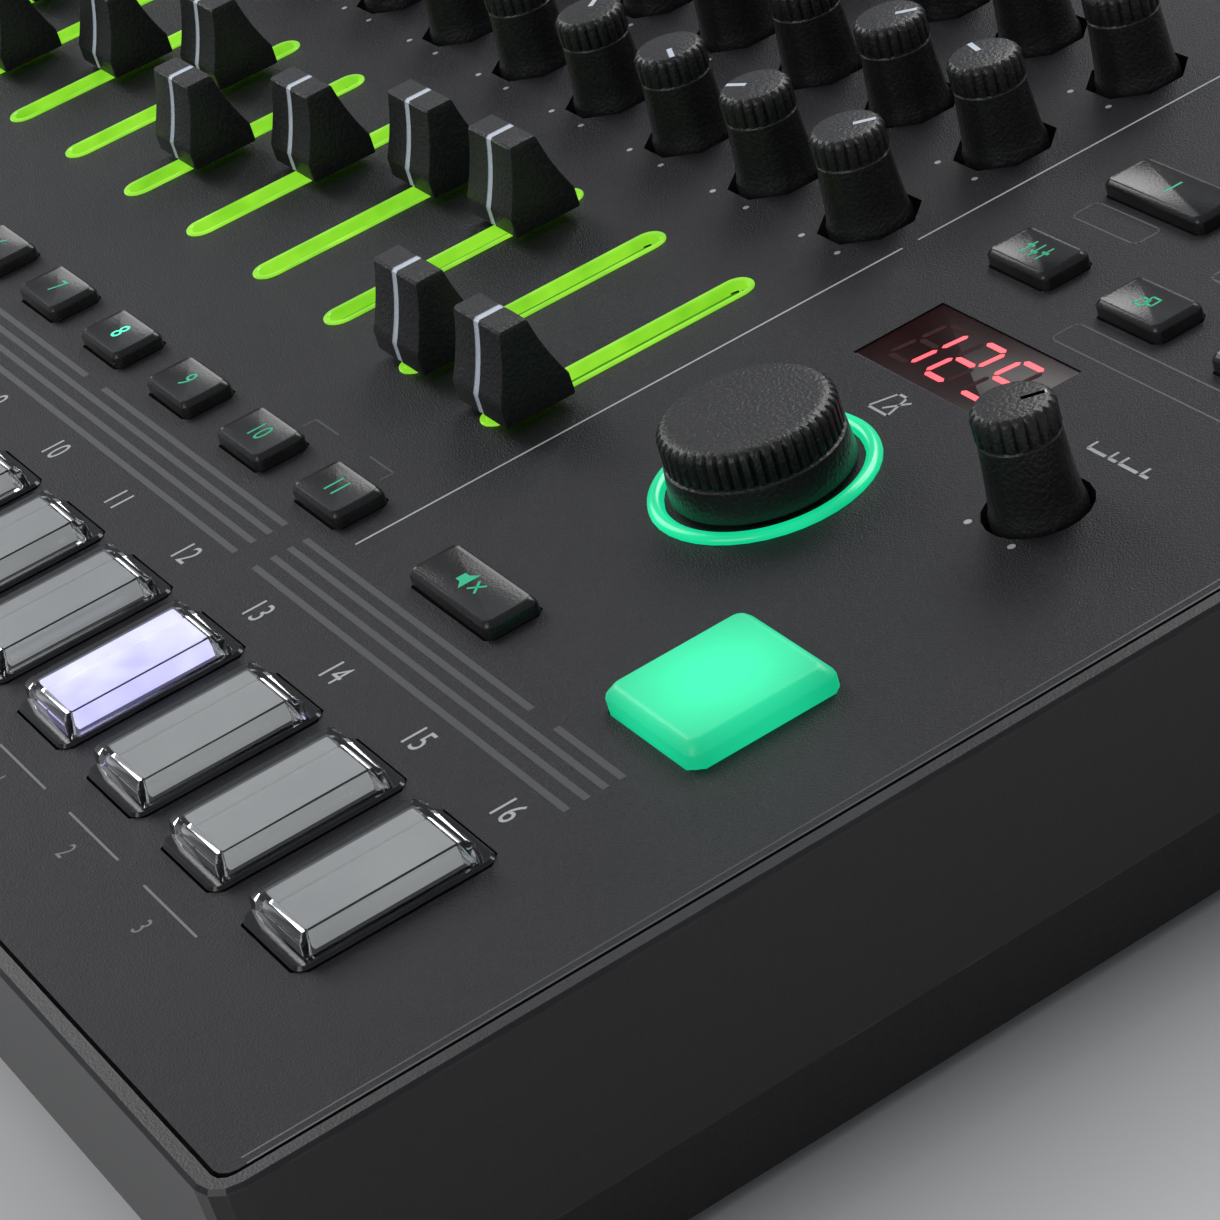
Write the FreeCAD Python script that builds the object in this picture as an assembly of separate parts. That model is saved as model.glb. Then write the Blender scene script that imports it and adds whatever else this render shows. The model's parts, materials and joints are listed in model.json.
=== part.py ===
"""Drum machine: a 409 x 263 x 58 mm table-top rhythm unit, built as separate pieces.

All lengths are in millimetres. X runs to the right, Y to the back and Z up, from the
centre of the footprint at the bottom of the feet. Every piece is written as one file
in the folder parts.
"""
import FreeCAD
import Part
import math
import os

# overall sizes
WIDTH = 409.0
DEPTH = 263.0
PANEL_TOP = 44.0
PANEL_THICK = 2.0
RIM_WALL = 2.1
RIM_GAP = 0.5
RIM_BOTTOM = 20.0
CORNER_R = 4.0
LEDGE_THICK = 1.8
LEDGE_REACH = 5.0
RIGHT = WIDTH / 2
LEFT = -WIDTH / 2
REAR = DEPTH / 2
FRONT = -DEPTH / 2

# lower case and feet
TRAY_BOTTOM = 3.0
TRAY_FLOOR = 2.0
TRAY_INSET_TOP = 6.0
TRAY_INSET_BOTTOM = 9.0
TRAY_WALL = 2.2
FOOT_R = 9.0
FOOT_X = RIGHT - 39.5
FOOT_Y = REAR - 36.5

# clearances
SLIDE_GAP = 0.3
TURN_GAP = 0.5
FIXED_GAP = 0.05
RETAIN_GAP = 0.4
SKIRT_THICK = 1.2
SKIRT_REACH = 0.9

# step keys
STEP_COUNT = 16
STEP_LAST_X = RIGHT - 33.2
STEP_PITCH = (WIDTH - 33.2 - 60.8) / (STEP_COUNT - 1)
STEP_Y = FRONT + 35.5
STEP_CAP_W = 12.9
STEP_CAP_D = 21.5
STEP_CAP_H = 3.4
STEP_FLANGE_W = 14.8
STEP_FLANGE_D = 25.0
STEP_TRAVEL = 1.0

# channel strips
CHANNELS = 11
CHANNEL_LAST_X = RIGHT - 110.3
CHANNEL_PITCH = (WIDTH - 110.3 - 73.7) / (CHANNELS - 1)
SELECT_Y = FRONT + 71.9
SELECT_W = 12.5
SELECT_D = 7.6
SELECT_H = 2.2
SELECT_TRAVEL = 0.4
FADER_TRAVEL = 30.0
FADER_LOW_Y = FRONT + 98.3
FADER_REST = [12.0, 21.0, 6.0, 16.0, 24.0, 9.0, 18.0, 26.0, 27.0, 0.0, 0.0]
GUIDE_W = 5.0
GUIDE_WALL = 0.8
GUIDE_PROUD = 0.3
CAP_BASE_W = 13.0
CAP_BASE_D = 10.4
CAP_TOP_W = 12.2
CAP_TOP_D = 4.3
CAP_TOP_H = 13.6
CAP_BASE_H = 1.2
CAP_FOOT_H = 3.0
CAP_BOW = 1.0
LEVER_W = 1.2
LEVER_D = 4.0
KNOB_ROWS = [FRONT + 152.5, FRONT + 174.5, FRONT + 196.5]

# right-hand controls
TEMPO_X = RIGHT - 66.9
TEMPO_Y = FRONT + 108.1
TEMPO_R = 11.0
TEMPO_H = 9.7
TEMPO_RIBS = 44
RING_OUT = 14.3
RING_IN = 12.3
RING_PROUD = 0.9
RING_DEEP = 0.8
RING_SIDES = 40
SHUFFLE_X = RIGHT - 33.1
SHUFFLE_Y = FRONT + 124.0
SHUFFLE_RIBS = 20
KNOB_CROWN_R = 5.0
KNOB_NECK_R = 4.7
KNOB_BASE_R = 6.0
KNOB_HOLE_R = 6.6
KNOB_SUNK = 1.2
KNOB_H = 14.0
SHAFT_R = 3.0
MUTE_X = RIGHT - 74.55
WIDE_KEY_W = 20.0
KEY_W = 12.7
KEY_D = 7.5
KEY_BEVEL = 0.7
PAD_X = RIGHT - 31.4
PAD_Y = FRONT + 79.9
PAD_SIZE = 19.6
PAD_H = 3.0
PAD_BEVEL = 1.2
PAD_TRAVEL = 0.6
MENU_LEFT_X = RIGHT - 79.0
MENU_RIGHT_X = RIGHT - 56.1
MENU_Y = FRONT + 157.6
UPPER_MENU_Y = FRONT + 177.0
WINDOW_X = RIGHT - 67.7
WINDOW_Y = FRONT + 138.1
WINDOW_W = 29.2
WINDOW_D = 13.6
SCREEN_X = RIGHT - 66.5
SCREEN_Y = FRONT + 215.5
SCREEN_W = 44.0
SCREEN_D = 21.0
VALUE_X = RIGHT - 26.5
VALUE_R = 8.0
VALUE_H = 11.0
VALUE_RIBS = 28

# left-hand column
COLUMN_X = LEFT + 26.5
START_SIZE = 22.0
START_Y = FRONT + 34.5
SMALL_KEY_Y = FRONT + 61.5
EFFECT_KEY_Y = FRONT + 139.5
COLUMN_KNOB_Y = [FRONT + 89.5, FRONT + 115.5, FRONT + 165.5, FRONT + 189.5, FRONT + 215.5]
MENU_EXTRA = [
    (RIGHT - 33.3, MENU_Y, KEY_W),
    (RIGHT - 76.5, UPPER_MENU_Y, WIDE_KEY_W),
    (RIGHT - 50.5, UPPER_MENU_Y, WIDE_KEY_W),
    (COLUMN_X - 4.0, SMALL_KEY_Y, KEY_W),
    (COLUMN_X + 14.0, SMALL_KEY_Y, KEY_W),
    (COLUMN_X, EFFECT_KEY_Y, KEY_W),
]

# boards and switches
BOARD_TOP = 35.0
BOARD_THICK = 1.6
BOARD_MARGIN_X = 21.5
BOARD_FRONT = FRONT + 20.5
BOARD_REAR = FRONT + 229.5
SWITCH_H = 2.6
SWITCH_SIZE = 6.0
POT_SIZE = 10.0
POT_H = 4.9
SLIDE_POT_W = 9.0
JACK_BOARD_TOP = 24.1
JACK_BOARD_D = 54.0
JACK_Z = 31.0
BAY_FACE_Y = REAR - 3.0
BAY_WALL = 2.0
BAY_LOW = 22.5
BAY_HIGH = 39.5
BAY_X = RIGHT - 16.5
PHONE_R = 4.6
PHONE_BORE_R = 3.3
PHONE_BODY_W = 14.0
PHONE_BODY_H = 13.4
PHONE_BODY_D = 22.0
PHONE_COUNT = 12
PHONE_FIRST_X = LEFT + 136.5
PHONE_PITCH = (WIDTH - 136.5 - 36.0) / (PHONE_COUNT - 1)
NUT_R = 6.3
NUT_THICK = 1.7
DIN_X = [LEFT + 86.5, LEFT + 110.5]
DIN_R = 7.7
DIN_Z = JACK_Z + 0.5
USB_X = LEFT + 62.5
USB_W = 12.0
USB_H = 10.8
DC_X = LEFT + 44.5
DC_R = 4.7
SWITCH_X = LEFT + 26.5
SWITCH_W = 13.6
SWITCH_TALL = 6.8

# screws
BOSS_R = 3.5
PILOT_R = 1.25
SCREW_R = 1.2
SCREW_HEAD_R = 2.7
SCREW_HEAD_H = 1.8
SCREW_SIDE_X = RIGHT - 17.0
SCREW_SPOTS = [
    (-SCREW_SIDE_X, FRONT + 18.0),
    (0.0, FRONT + 16.0),
    (SCREW_SIDE_X, FRONT + 18.0),
    (-SCREW_SIDE_X, 0.0),
    (SCREW_SIDE_X, 0.0),
    (-SCREW_SIDE_X, REAR - 31.5),
    (PHONE_FIRST_X + 3.5 * PHONE_PITCH, REAR - 17.5),
    (SCREW_SIDE_X, REAR - 31.5),
]
POST_SPOTS = [(x, y) for y in (FRONT + 57.8, FRONT + 208.5) for x in (LEFT + 51.5, RIGHT - 96.5)]
TRAY_POSTS = [(LEFT + 54.5 + i * (WIDTH - 109.0) / 3, REAR - 51.5) for i in range(4)]

UP = FreeCAD.Vector(0, 0, 1)
NECK_LOW = PANEL_TOP - PANEL_THICK - RETAIN_GAP


def vec(x, y, z):
    return FreeCAD.Vector(x, y, z)


def block(x0, x1, y0, y1, z0, z1):
    return Part.makeBox(x1 - x0, y1 - y0, z1 - z0, vec(x0, y0, z0))


def centred(x, y, width, depth, z0, z1):
    return block(x - width / 2, x + width / 2, y - depth / 2, y + depth / 2, z0, z1)


def rod(x, y, radius, z0, z1):
    return Part.makeCylinder(radius, z1 - z0, vec(x, y, z0), UP)


def across(points, y0, y1):
    """Prism along Y from (x, z) points."""
    wire = Part.makePolygon([vec(x, y0, z) for x, z in points + points[:1]])
    return Part.Face(wire).extrude(vec(0, y1 - y0, 0))


def outline(points, z):
    """Closed outline at one height from (x, y) points."""
    corners = [vec(x, y, z) for x, y in points]
    return Part.makePolygon(corners + corners[:1])


def ring_points(x, y, radius, sides, around=False):
    """Corners of a regular polygon; around makes it stand outside the circle of that radius."""
    reach = radius / math.cos(math.pi / sides) if around else radius
    angles = [2 * math.pi * (i + 0.5) / sides for i in range(sides)]
    return [(x + reach * math.cos(a), y + reach * math.sin(a)) for a in angles]


def ribbed_points(x, y, radius, ribs, deep):
    """Outline of a grip: flat lands with narrow grooves between them."""
    points = []
    for i in range(ribs):
        for share, reach in ((0.0, radius), (0.6, radius), (0.8, radius - deep)):
            a = 2 * math.pi * (i + share) / ribs
            points.append((x + reach * math.cos(a), y + reach * math.sin(a)))
    return points


def cut_corner_points(x, y, width, depth, cut):
    """Rectangle with its four corners cut off at 45 degrees."""
    hx = width / 2
    hy = depth / 2
    around = [
        (hx, -hy + cut), (hx, hy - cut), (hx - cut, hy), (-hx + cut, hy),
        (-hx, hy - cut), (-hx, -hy + cut), (-hx + cut, -hy), (hx - cut, -hy),
    ]
    return [(x + a, y + b) for a, b in around]


def slot_points(x, y, width, length, facets=5):
    """Slot along Y with faceted round ends."""
    r = width / 2
    half = length / 2 - r
    front = [math.pi + math.pi * i / facets for i in range(facets + 1)]
    rear = [math.pi * i / facets for i in range(facets + 1)]
    points = [(x + r * math.cos(a), y - half + r * math.sin(a)) for a in front]
    return points + [(x + r * math.cos(a), y + half + r * math.sin(a)) for a in rear]


def prism(points, z0, z1):
    return Part.Face(outline(points, z0)).extrude(vec(0, 0, z1 - z0))


def skin(levels):
    """Solid with straight sides through outlines; each level is (points, height)."""
    return Part.makeLoft([outline(points, z) for points, z in levels], True, True)


def rounded_wire(x, y, width, depth, radius, z, facets=3):
    """Closed outline of a rectangle with round corners in a few flats."""
    hx = width / 2 - radius
    hy = depth / 2 - radius
    points = []
    for sx, sy, start in ((1, 1, 0), (-1, 1, 90), (-1, -1, 180), (1, -1, 270)):
        for step in range(facets + 1):
            a = math.radians(start + 90 * step / facets)
            points.append((x + sx * hx + radius * math.cos(a), y + sy * hy + radius * math.sin(a)))
    return outline(points, z)


def rounded_block(x, y, width, depth, radius, z0, z1):
    return Part.Face(rounded_wire(x, y, width, depth, radius, z0)).extrude(vec(0, 0, z1 - z0))


def tapered_block(x, y, low, high, z0, z1):
    """Loft between two rounded rectangles, each given as (width, depth, radius)."""
    a = rounded_wire(x, y, low[0], low[1], low[2], z0)
    b = rounded_wire(x, y, high[0], high[1], high[2], z1)
    return Part.makeLoft([a, b], True, True)


def channel_x(number):
    return CHANNEL_LAST_X - (CHANNELS - number) * CHANNEL_PITCH


def step_x(number):
    return STEP_LAST_X - (STEP_COUNT - number) * STEP_PITCH


def phone_x(number):
    return PHONE_FIRST_X + (number - 1) * PHONE_PITCH


def small_keys():
    """Every push key but the step keys and the two pads: (x, y, width, depth)."""
    keys = [(channel_x(n), SELECT_Y, SELECT_W, SELECT_D) for n in range(1, CHANNELS + 1)]
    keys.append((MUTE_X, SELECT_Y, WIDE_KEY_W, KEY_D))
    keys.append((MENU_LEFT_X, MENU_Y, KEY_W, KEY_D))
    keys.append((MENU_RIGHT_X, MENU_Y, KEY_W, KEY_D))
    return keys + [(x, y, w, KEY_D) for x, y, w in MENU_EXTRA]


def knob_spots():
    """Centres of the slim knobs of the channels and of the left-hand column."""
    rows = [(channel_x(n), y) for y in KNOB_ROWS for n in range(1, CHANNELS + 1)]
    return rows + [(COLUMN_X, y) for y in COLUMN_KNOB_Y]


def retainer(x, y, width, depth, travel):
    """Skirt that keeps a key under the panel, and the plunger that meets its switch."""
    skirt_low = NECK_LOW - SKIRT_THICK
    skirt = centred(x, y, width + 2 * SKIRT_REACH, depth + 2 * SKIRT_REACH, skirt_low, NECK_LOW)
    foot = BOARD_TOP + SWITCH_H + SLIDE_GAP + travel
    return [skirt, centred(x, y, 2.4, 2.4, foot, skirt_low)]


def push_key(x, y, width, depth, height, travel, bevel, corner=1.0):
    """Push key: straight neck through the panel and a bevelled cap, in one piece."""
    top = PANEL_TOP + height
    neck = cut_corner_points(x, y, width, depth, corner)
    crown = cut_corner_points(x, y, width - 2 * bevel, depth - 2 * bevel, corner * 0.8)
    cap = skin([(neck, NECK_LOW), (neck, top - bevel), (crown, top)])
    return cap.fuse(retainer(x, y, width, depth, travel)).removeSplitter()


def key_opening(x, y, width, depth, corner=1.0):
    """Cutter for a key's opening, wider than the key by the sliding gap all round."""
    points = cut_corner_points(x, y, width + 2 * SLIDE_GAP, depth + 2 * SLIDE_GAP, corner + 0.1)
    return prism(points, PANEL_TOP - PANEL_THICK - 1, PANEL_TOP + 1)


def step_key(number):
    """Step key: black flange that fills the opening and a clear cap with leaning sides."""
    x = step_x(number)
    flange_top = PANEL_TOP + 0.5
    corner = 1.5
    flange = prism(cut_corner_points(x, STEP_Y, STEP_FLANGE_W, STEP_FLANGE_D, corner), NECK_LOW, flange_top)
    low = cut_corner_points(x, STEP_Y, STEP_CAP_W + 0.5, STEP_CAP_D + 0.5, 0.4)
    high = cut_corner_points(x, STEP_Y, STEP_CAP_W, STEP_CAP_D, 0.4)
    cap = skin([(low, flange_top), (high, PANEL_TOP + STEP_CAP_H)])
    hidden = retainer(x, STEP_Y, STEP_FLANGE_W, STEP_FLANGE_D, STEP_TRAVEL)
    return flange.fuse([cap] + hidden).removeSplitter()


def fader_side(y, base_d, top_d, low, foot, high, bow):
    """Side outline of a fader cap: upright foot, hollow-curved faces and a flat top."""
    waist = (base_d + top_d) / 4 - bow
    middle = (foot + high) / 2
    front_foot = vec(0, y - base_d / 2, foot)
    rear_foot = vec(0, y + base_d / 2, foot)
    front_top = vec(0, y - top_d / 2, high)
    rear_top = vec(0, y + top_d / 2, high)
    edges = [
        Part.makeLine(vec(0, y - base_d / 2, low), vec(0, y - base_d / 2, foot)),
        Part.Arc(front_foot, vec(0, y - waist, middle), front_top).toShape(),
        Part.makeLine(vec(0, y - top_d / 2, high), vec(0, y + top_d / 2, high)),
        Part.Arc(rear_top, vec(0, y + waist, middle), rear_foot).toShape(),
        Part.makeLine(vec(0, y + base_d / 2, foot), vec(0, y + base_d / 2, low)),
        Part.makeLine(vec(0, y + base_d / 2, low), vec(0, y - base_d / 2, low)),
    ]
    return Part.Face(Part.Wire(edges))


def fader_cap(number):
    """Cap with curved faces and narrowing flanks, hollow below, on its flat lever."""
    x = channel_x(number)
    y = FADER_LOW_Y + FADER_REST[number - 1]
    low = PANEL_TOP + CAP_BASE_H
    high = PANEL_TOP + CAP_TOP_H
    side = fader_side(y, CAP_BASE_D, CAP_TOP_D, low, low + CAP_FOOT_H, high, CAP_BOW)
    side.translate(vec(x - CAP_BASE_W / 2, 0, 0))
    cap = side.extrude(vec(CAP_BASE_W, 0, 0))
    wide = CAP_BASE_D + 4
    foot = [(x - CAP_BASE_W / 2, y - wide), (x + CAP_BASE_W / 2, y - wide),
            (x + CAP_BASE_W / 2, y + wide), (x - CAP_BASE_W / 2, y + wide)]
    crest = [(x - CAP_TOP_W / 2, y - wide), (x + CAP_TOP_W / 2, y - wide),
             (x + CAP_TOP_W / 2, y + wide), (x - CAP_TOP_W / 2, y + wide)]
    cap = cap.common(skin([(foot, low), (crest, high)]))
    hollow_low = cut_corner_points(x, y, CAP_BASE_W - 3.0, CAP_BASE_D - 3.0, 0.3)
    hollow_high = cut_corner_points(x, y, CAP_BASE_W - 4.0, 2.2, 0.3)
    cap = cap.cut(skin([(hollow_low, low - 0.5), (hollow_high, high - 4.5)]))
    lever = centred(x, y, LEVER_W, LEVER_D, BOARD_TOP + 2.0, high - 2.0)
    return cap.fuse(lever).removeSplitter()


def slim_knob(x, y, height, sides):
    """Repeated slim knob in flat facets: sunk foot, flare, body and crown, on a square shaft."""
    z = PANEL_TOP
    levels = [
        (ring_points(x, y, KNOB_BASE_R, sides), z - KNOB_SUNK),
        (ring_points(x, y, KNOB_NECK_R + 0.3, sides), z + 4.0),
        (ring_points(x, y, KNOB_CROWN_R, sides), z + height),
    ]
    shaft = centred(x, y, SHAFT_R * 1.4, SHAFT_R * 1.4, BOARD_TOP + POT_H + 0.05, z - KNOB_SUNK)
    return skin(levels).fuse(shaft)


def ribbed_slim_knob(x, y, height, ribs):
    """Slim knob with its ribbed crown: flared foot, drawn-in body and grooved band."""
    z = PANEL_TOP
    sides = 24
    crown_low = z + height - 4.0
    body = skin([
        (ring_points(x, y, KNOB_BASE_R, sides), z - KNOB_SUNK),
        (ring_points(x, y, KNOB_BASE_R, sides), z + 0.4),
        (ring_points(x, y, KNOB_NECK_R + 0.6, sides), z + 2.5),
        (ring_points(x, y, KNOB_NECK_R + 0.1, sides), z + 5.5),
        (ring_points(x, y, KNOB_NECK_R, sides), crown_low),
    ])
    deep = 0.4
    crown = skin([
        (ribbed_points(x, y, KNOB_CROWN_R, ribs, deep), crown_low),
        (ribbed_points(x, y, KNOB_CROWN_R, ribs, deep), z + height - 0.8),
        (ribbed_points(x, y, KNOB_CROWN_R - 0.7, ribs, deep / 2), z + height),
    ])
    shaft = rod(x, y, SHAFT_R, BOARD_TOP + POT_H + 0.5, z - KNOB_SUNK)
    return body.fuse([crown, shaft]).removeSplitter()


def wide_knob(x, y, radius, height, ribs, lift=0.6):
    """Wide knob: flared skirt, ribbed band with a broken edge and a flat top."""
    z = PANEL_TOP
    band = z + height * 0.52
    sides = 40
    skirt = skin([
        (ring_points(x, y, radius + 0.5, sides), z + lift),
        (ring_points(x, y, radius + 0.5, sides), z + 1.3),
        (ring_points(x, y, radius, sides), band),
    ])
    deep = 0.45
    grip = skin([
        (ribbed_points(x, y, radius, ribs, deep), band),
        (ribbed_points(x, y, radius, ribs, deep), z + height - 0.8),
        (ribbed_points(x, y, radius - 0.8, ribs, deep / 2), z + height),
    ])
    shaft = rod(x, y, SHAFT_R, BOARD_TOP + POT_H + 0.5, z + lift)
    return skirt.fuse([grip, shaft]).removeSplitter()


def guide_length():
    return FADER_TRAVEL + CAP_BASE_D + 0.8


def guide_centre():
    return FADER_LOW_Y + FADER_TRAVEL / 2


def fader_guide(number):
    """Clear channel that lines a fader slot, with a slit along its floor for the lever."""
    x = channel_x(number)
    y = guide_centre()
    low = PANEL_TOP - PANEL_THICK
    top = PANEL_TOP + GUIDE_PROUD
    outer = prism(slot_points(x, y, GUIDE_W, guide_length()), low, top)
    wall = 2 * GUIDE_WALL
    inner = prism(slot_points(x, y, GUIDE_W - wall, guide_length() - wall), low + 0.6, top)
    slit = centred(x, y, LEVER_W + 0.8, FADER_TRAVEL + LEVER_D + 0.8, low, low + 0.6)
    return outer.cut(inner).cut(slit)


def light_guides():
    """Fader slot guides and the round light ring of the tempo knob."""
    guides = [fader_guide(n) for n in range(1, CHANNELS + 1)]
    z = PANEL_TOP
    top = z + RING_PROUD
    outer = skin([
        (ring_points(TEMPO_X, TEMPO_Y, RING_OUT, RING_SIDES), z - RING_DEEP),
        (ring_points(TEMPO_X, TEMPO_Y, RING_OUT, RING_SIDES), z + 0.4),
        (ring_points(TEMPO_X, TEMPO_Y, RING_OUT - 0.5, RING_SIDES), top),
    ])
    inner = skin([
        (ring_points(TEMPO_X, TEMPO_Y, RING_IN, RING_SIDES), z - RING_DEEP - 1),
        (ring_points(TEMPO_X, TEMPO_Y, RING_IN, RING_SIDES), z + 0.4),
        (ring_points(TEMPO_X, TEMPO_Y, RING_IN + 0.5, RING_SIDES), top),
        (ring_points(TEMPO_X, TEMPO_Y, RING_IN + 0.5, RING_SIDES), top + 1),
    ])
    return Part.makeCompound(guides + [outer.cut(inner)])


def panel_openings():
    """Cutters for every opening in the control panel."""
    low = PANEL_TOP - PANEL_THICK - 1
    high = PANEL_TOP + 1
    steps = range(1, STEP_COUNT + 1)
    cutters = [key_opening(step_x(n), STEP_Y, STEP_FLANGE_W, STEP_FLANGE_D, 1.5) for n in steps]
    cutters += [key_opening(x, y, w, d) for x, y, w, d in small_keys()]
    cutters.append(key_opening(PAD_X, PAD_Y, PAD_SIZE, PAD_SIZE, 1.5))
    cutters.append(key_opening(COLUMN_X, START_Y, START_SIZE, START_SIZE, 1.5))
    slot = (GUIDE_W + 2 * FIXED_GAP, guide_length() + 2 * FIXED_GAP)
    for n in range(1, CHANNELS + 1):
        cutters.append(prism(slot_points(channel_x(n), guide_centre(), slot[0], slot[1]), low, high))
    cutters += [prism(ring_points(x, y, KNOB_HOLE_R, 8, True), low, high) for x, y in knob_spots()]
    cutters.append(prism(ring_points(SHUFFLE_X, SHUFFLE_Y, KNOB_HOLE_R, 20, True), low, high))
    for x, y in ((TEMPO_X, TEMPO_Y), (VALUE_X, SCREEN_Y)):
        cutters.append(prism(ring_points(x, y, SHAFT_R + TURN_GAP, 16, True), low, high))
    floor = PANEL_TOP - RING_DEEP - FIXED_GAP
    groove = prism(ring_points(TEMPO_X, TEMPO_Y, RING_OUT + FIXED_GAP, RING_SIDES), floor, high)
    island = prism(ring_points(TEMPO_X, TEMPO_Y, RING_IN - FIXED_GAP, RING_SIDES), low, high)
    cutters.append(groove.cut(island))
    for x, y, w, d in ((WINDOW_X, WINDOW_Y, WINDOW_W, WINDOW_D), (SCREEN_X, SCREEN_Y, SCREEN_W, SCREEN_D)):
        cutters.append(centred(x, y, w + 2 * FIXED_GAP, d + 2 * FIXED_GAP, low, high))
    return cutters


def top_panel():
    """Control panel: plate with every opening, screw bosses and posts for the board."""
    width = WIDTH - 2 * (RIM_WALL + RIM_GAP)
    depth = DEPTH - 2 * (RIM_WALL + RIM_GAP)
    low = PANEL_TOP - PANEL_THICK
    plate = rounded_block(0, 0, width, depth, CORNER_R - RIM_WALL, low, PANEL_TOP)
    plate = plate.cut(Part.makeCompound(panel_openings()))
    bosses = []
    for x, y in SCREW_SPOTS:
        boss = prism(ring_points(x, y, BOSS_R, 10), RIM_BOTTOM + 0.4, low)
        bosses.append(boss.cut(prism(ring_points(x, y, PILOT_R, 6, True), RIM_BOTTOM, low - 2)))
    posts = [centred(x, y, 4.0, 4.0, BOARD_TOP, low) for x, y in POST_SPOTS]
    return plate.fuse(bosses + posts).removeSplitter()


def bay_holes():
    """Cutters for the sockets in the rear wall of the socket bay."""
    y0 = BAY_FACE_Y - BAY_WALL - 1
    y1 = BAY_FACE_Y + 1
    cutters = []
    for n in range(1, PHONE_COUNT + 1):
        cutters.append(across(ring_points(phone_x(n), JACK_Z, PHONE_R + 0.15, 10, True), y0, y1))
    cutters += [across(ring_points(x, DIN_Z, DIN_R + 0.15, 20, True), y0, y1) for x in DIN_X]
    cutters.append(block(USB_X - USB_W / 2 - 0.3, USB_X + USB_W / 2 + 0.3, y0, y1,
                         JACK_Z - USB_H / 2 - 0.3, JACK_Z + USB_H / 2 + 0.3))
    cutters.append(across(ring_points(DC_X, JACK_Z, DC_R + 0.2, 12, True), y0, y1))
    cutters.append(block(SWITCH_X - SWITCH_W / 2 - 0.2, SWITCH_X + SWITCH_W / 2 + 0.2, y0, y1,
                         JACK_Z - SWITCH_TALL / 2 - 0.2, JACK_Z + SWITCH_TALL / 2 + 0.2))
    return cutters


def case():
    """Case frame: rim with a broken edge, ledge under the panel and recessed socket bay."""
    top = PANEL_TOP
    outer = rounded_block(0, 0, WIDTH, DEPTH, CORNER_R, RIM_BOTTOM, top - 0.5)
    crest = (WIDTH - 1, DEPTH - 1, CORNER_R - 0.5)
    rim = tapered_block(0, 0, (WIDTH, DEPTH, CORNER_R), crest, top - 0.5, top)
    inner_w = WIDTH - 2 * RIM_WALL
    inner_d = DEPTH - 2 * RIM_WALL
    inner_r = CORNER_R - RIM_WALL
    body = outer.fuse(rim).cut(rounded_block(0, 0, inner_w, inner_d, inner_r, RIM_BOTTOM - 1, top + 1))
    ledge_top = top - PANEL_THICK
    ledge = rounded_block(0, 0, inner_w + 0.4, inner_d + 0.4, inner_r, ledge_top - LEDGE_THICK, ledge_top)
    ledge = ledge.cut(centred(0, 0, inner_w - 2 * LEDGE_REACH, inner_d - 2 * LEDGE_REACH, 0, top))
    lip = rounded_block(0, 0, inner_w + 0.4, inner_d + 0.4, inner_r, RIM_BOTTOM, RIM_BOTTOM + 2.0)
    inset = 2 * (TRAY_INSET_TOP + TRAY_WALL)
    lip = lip.cut(centred(0, 0, WIDTH - inset, DEPTH - inset, 0, top))
    inner_y = BAY_FACE_Y - BAY_WALL
    bay = block(-BAY_X - 2, BAY_X + 2, inner_y, REAR, BAY_LOW - 2.5, BAY_HIGH + 2.0)
    body = body.fuse([ledge, lip, bay])
    body = body.cut(block(-BAY_X, BAY_X, BAY_FACE_Y, REAR + 1, BAY_LOW, BAY_HIGH))
    body = body.cut(Part.makeCompound(bay_holes()))
    for x, y in SCREW_SPOTS:
        body = body.cut(centred(x, y, 2 * BOSS_R + 0.8, 2 * BOSS_R + 0.8, RIM_BOTTOM - 1, top - PANEL_THICK))
    return body.removeSplitter()


def bottom_case():
    """Drafted tray with screw bosses, board posts, stiffening ribs and air slots."""
    top = RIM_BOTTOM - FIXED_GAP
    floor = TRAY_BOTTOM + TRAY_FLOOR
    w1 = WIDTH - 2 * TRAY_INSET_TOP
    d1 = DEPTH - 2 * TRAY_INSET_TOP
    w0 = WIDTH - 2 * TRAY_INSET_BOTTOM
    d0 = DEPTH - 2 * TRAY_INSET_BOTTOM
    t = 2 * TRAY_WALL
    outer = tapered_block(0, 0, (w0, d0, 8.0), (w1, d1, 6.0), TRAY_BOTTOM, top)
    inner = tapered_block(0, 0, (w0 - t, d0 - t, 6.5), (w1 - t, d1 - t, 4.5), floor, top)
    body = outer.cut(inner)
    bosses = [prism(ring_points(x, y, BOSS_R + 1.0, 10), floor - 0.5, top) for x, y in SCREW_SPOTS]
    seat = JACK_BOARD_TOP - BOARD_THICK
    posts = [prism(ring_points(x, y, 3.0, 6), floor - 0.5, seat) for x, y in TRAY_POSTS]
    rib_d = DEPTH * 0.57
    rib_x = [i * WIDTH / 6.8 for i in range(-2, 3)]
    ribs = [centred(x, -DEPTH * 0.06, 1.6, rib_d, floor - 0.5, floor + 5.0) for x in rib_x]
    body = body.fuse(bosses + posts + ribs)
    cutters = []
    for x, y in SCREW_SPOTS:
        cutters.append(prism(ring_points(x, y, SCREW_R + 0.3, 6, True), TRAY_BOTTOM - 1, top + 1))
        sink = TRAY_BOTTOM + SCREW_HEAD_H + 0.4
        cutters.append(prism(ring_points(x, y, SCREW_HEAD_R + 0.4, 10, True), TRAY_BOTTOM - 1, sink))
    for side in (-1, 1):
        for i in range(8):
            x = side * WIDTH * 0.22 + 5.0 * (i - 3.5)
            cutters.append(centred(x, DEPTH * 0.115, 2.0, 30.0, TRAY_BOTTOM - 1, floor + 1))
    return body.cut(Part.makeCompound(cutters)).removeSplitter()


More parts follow.
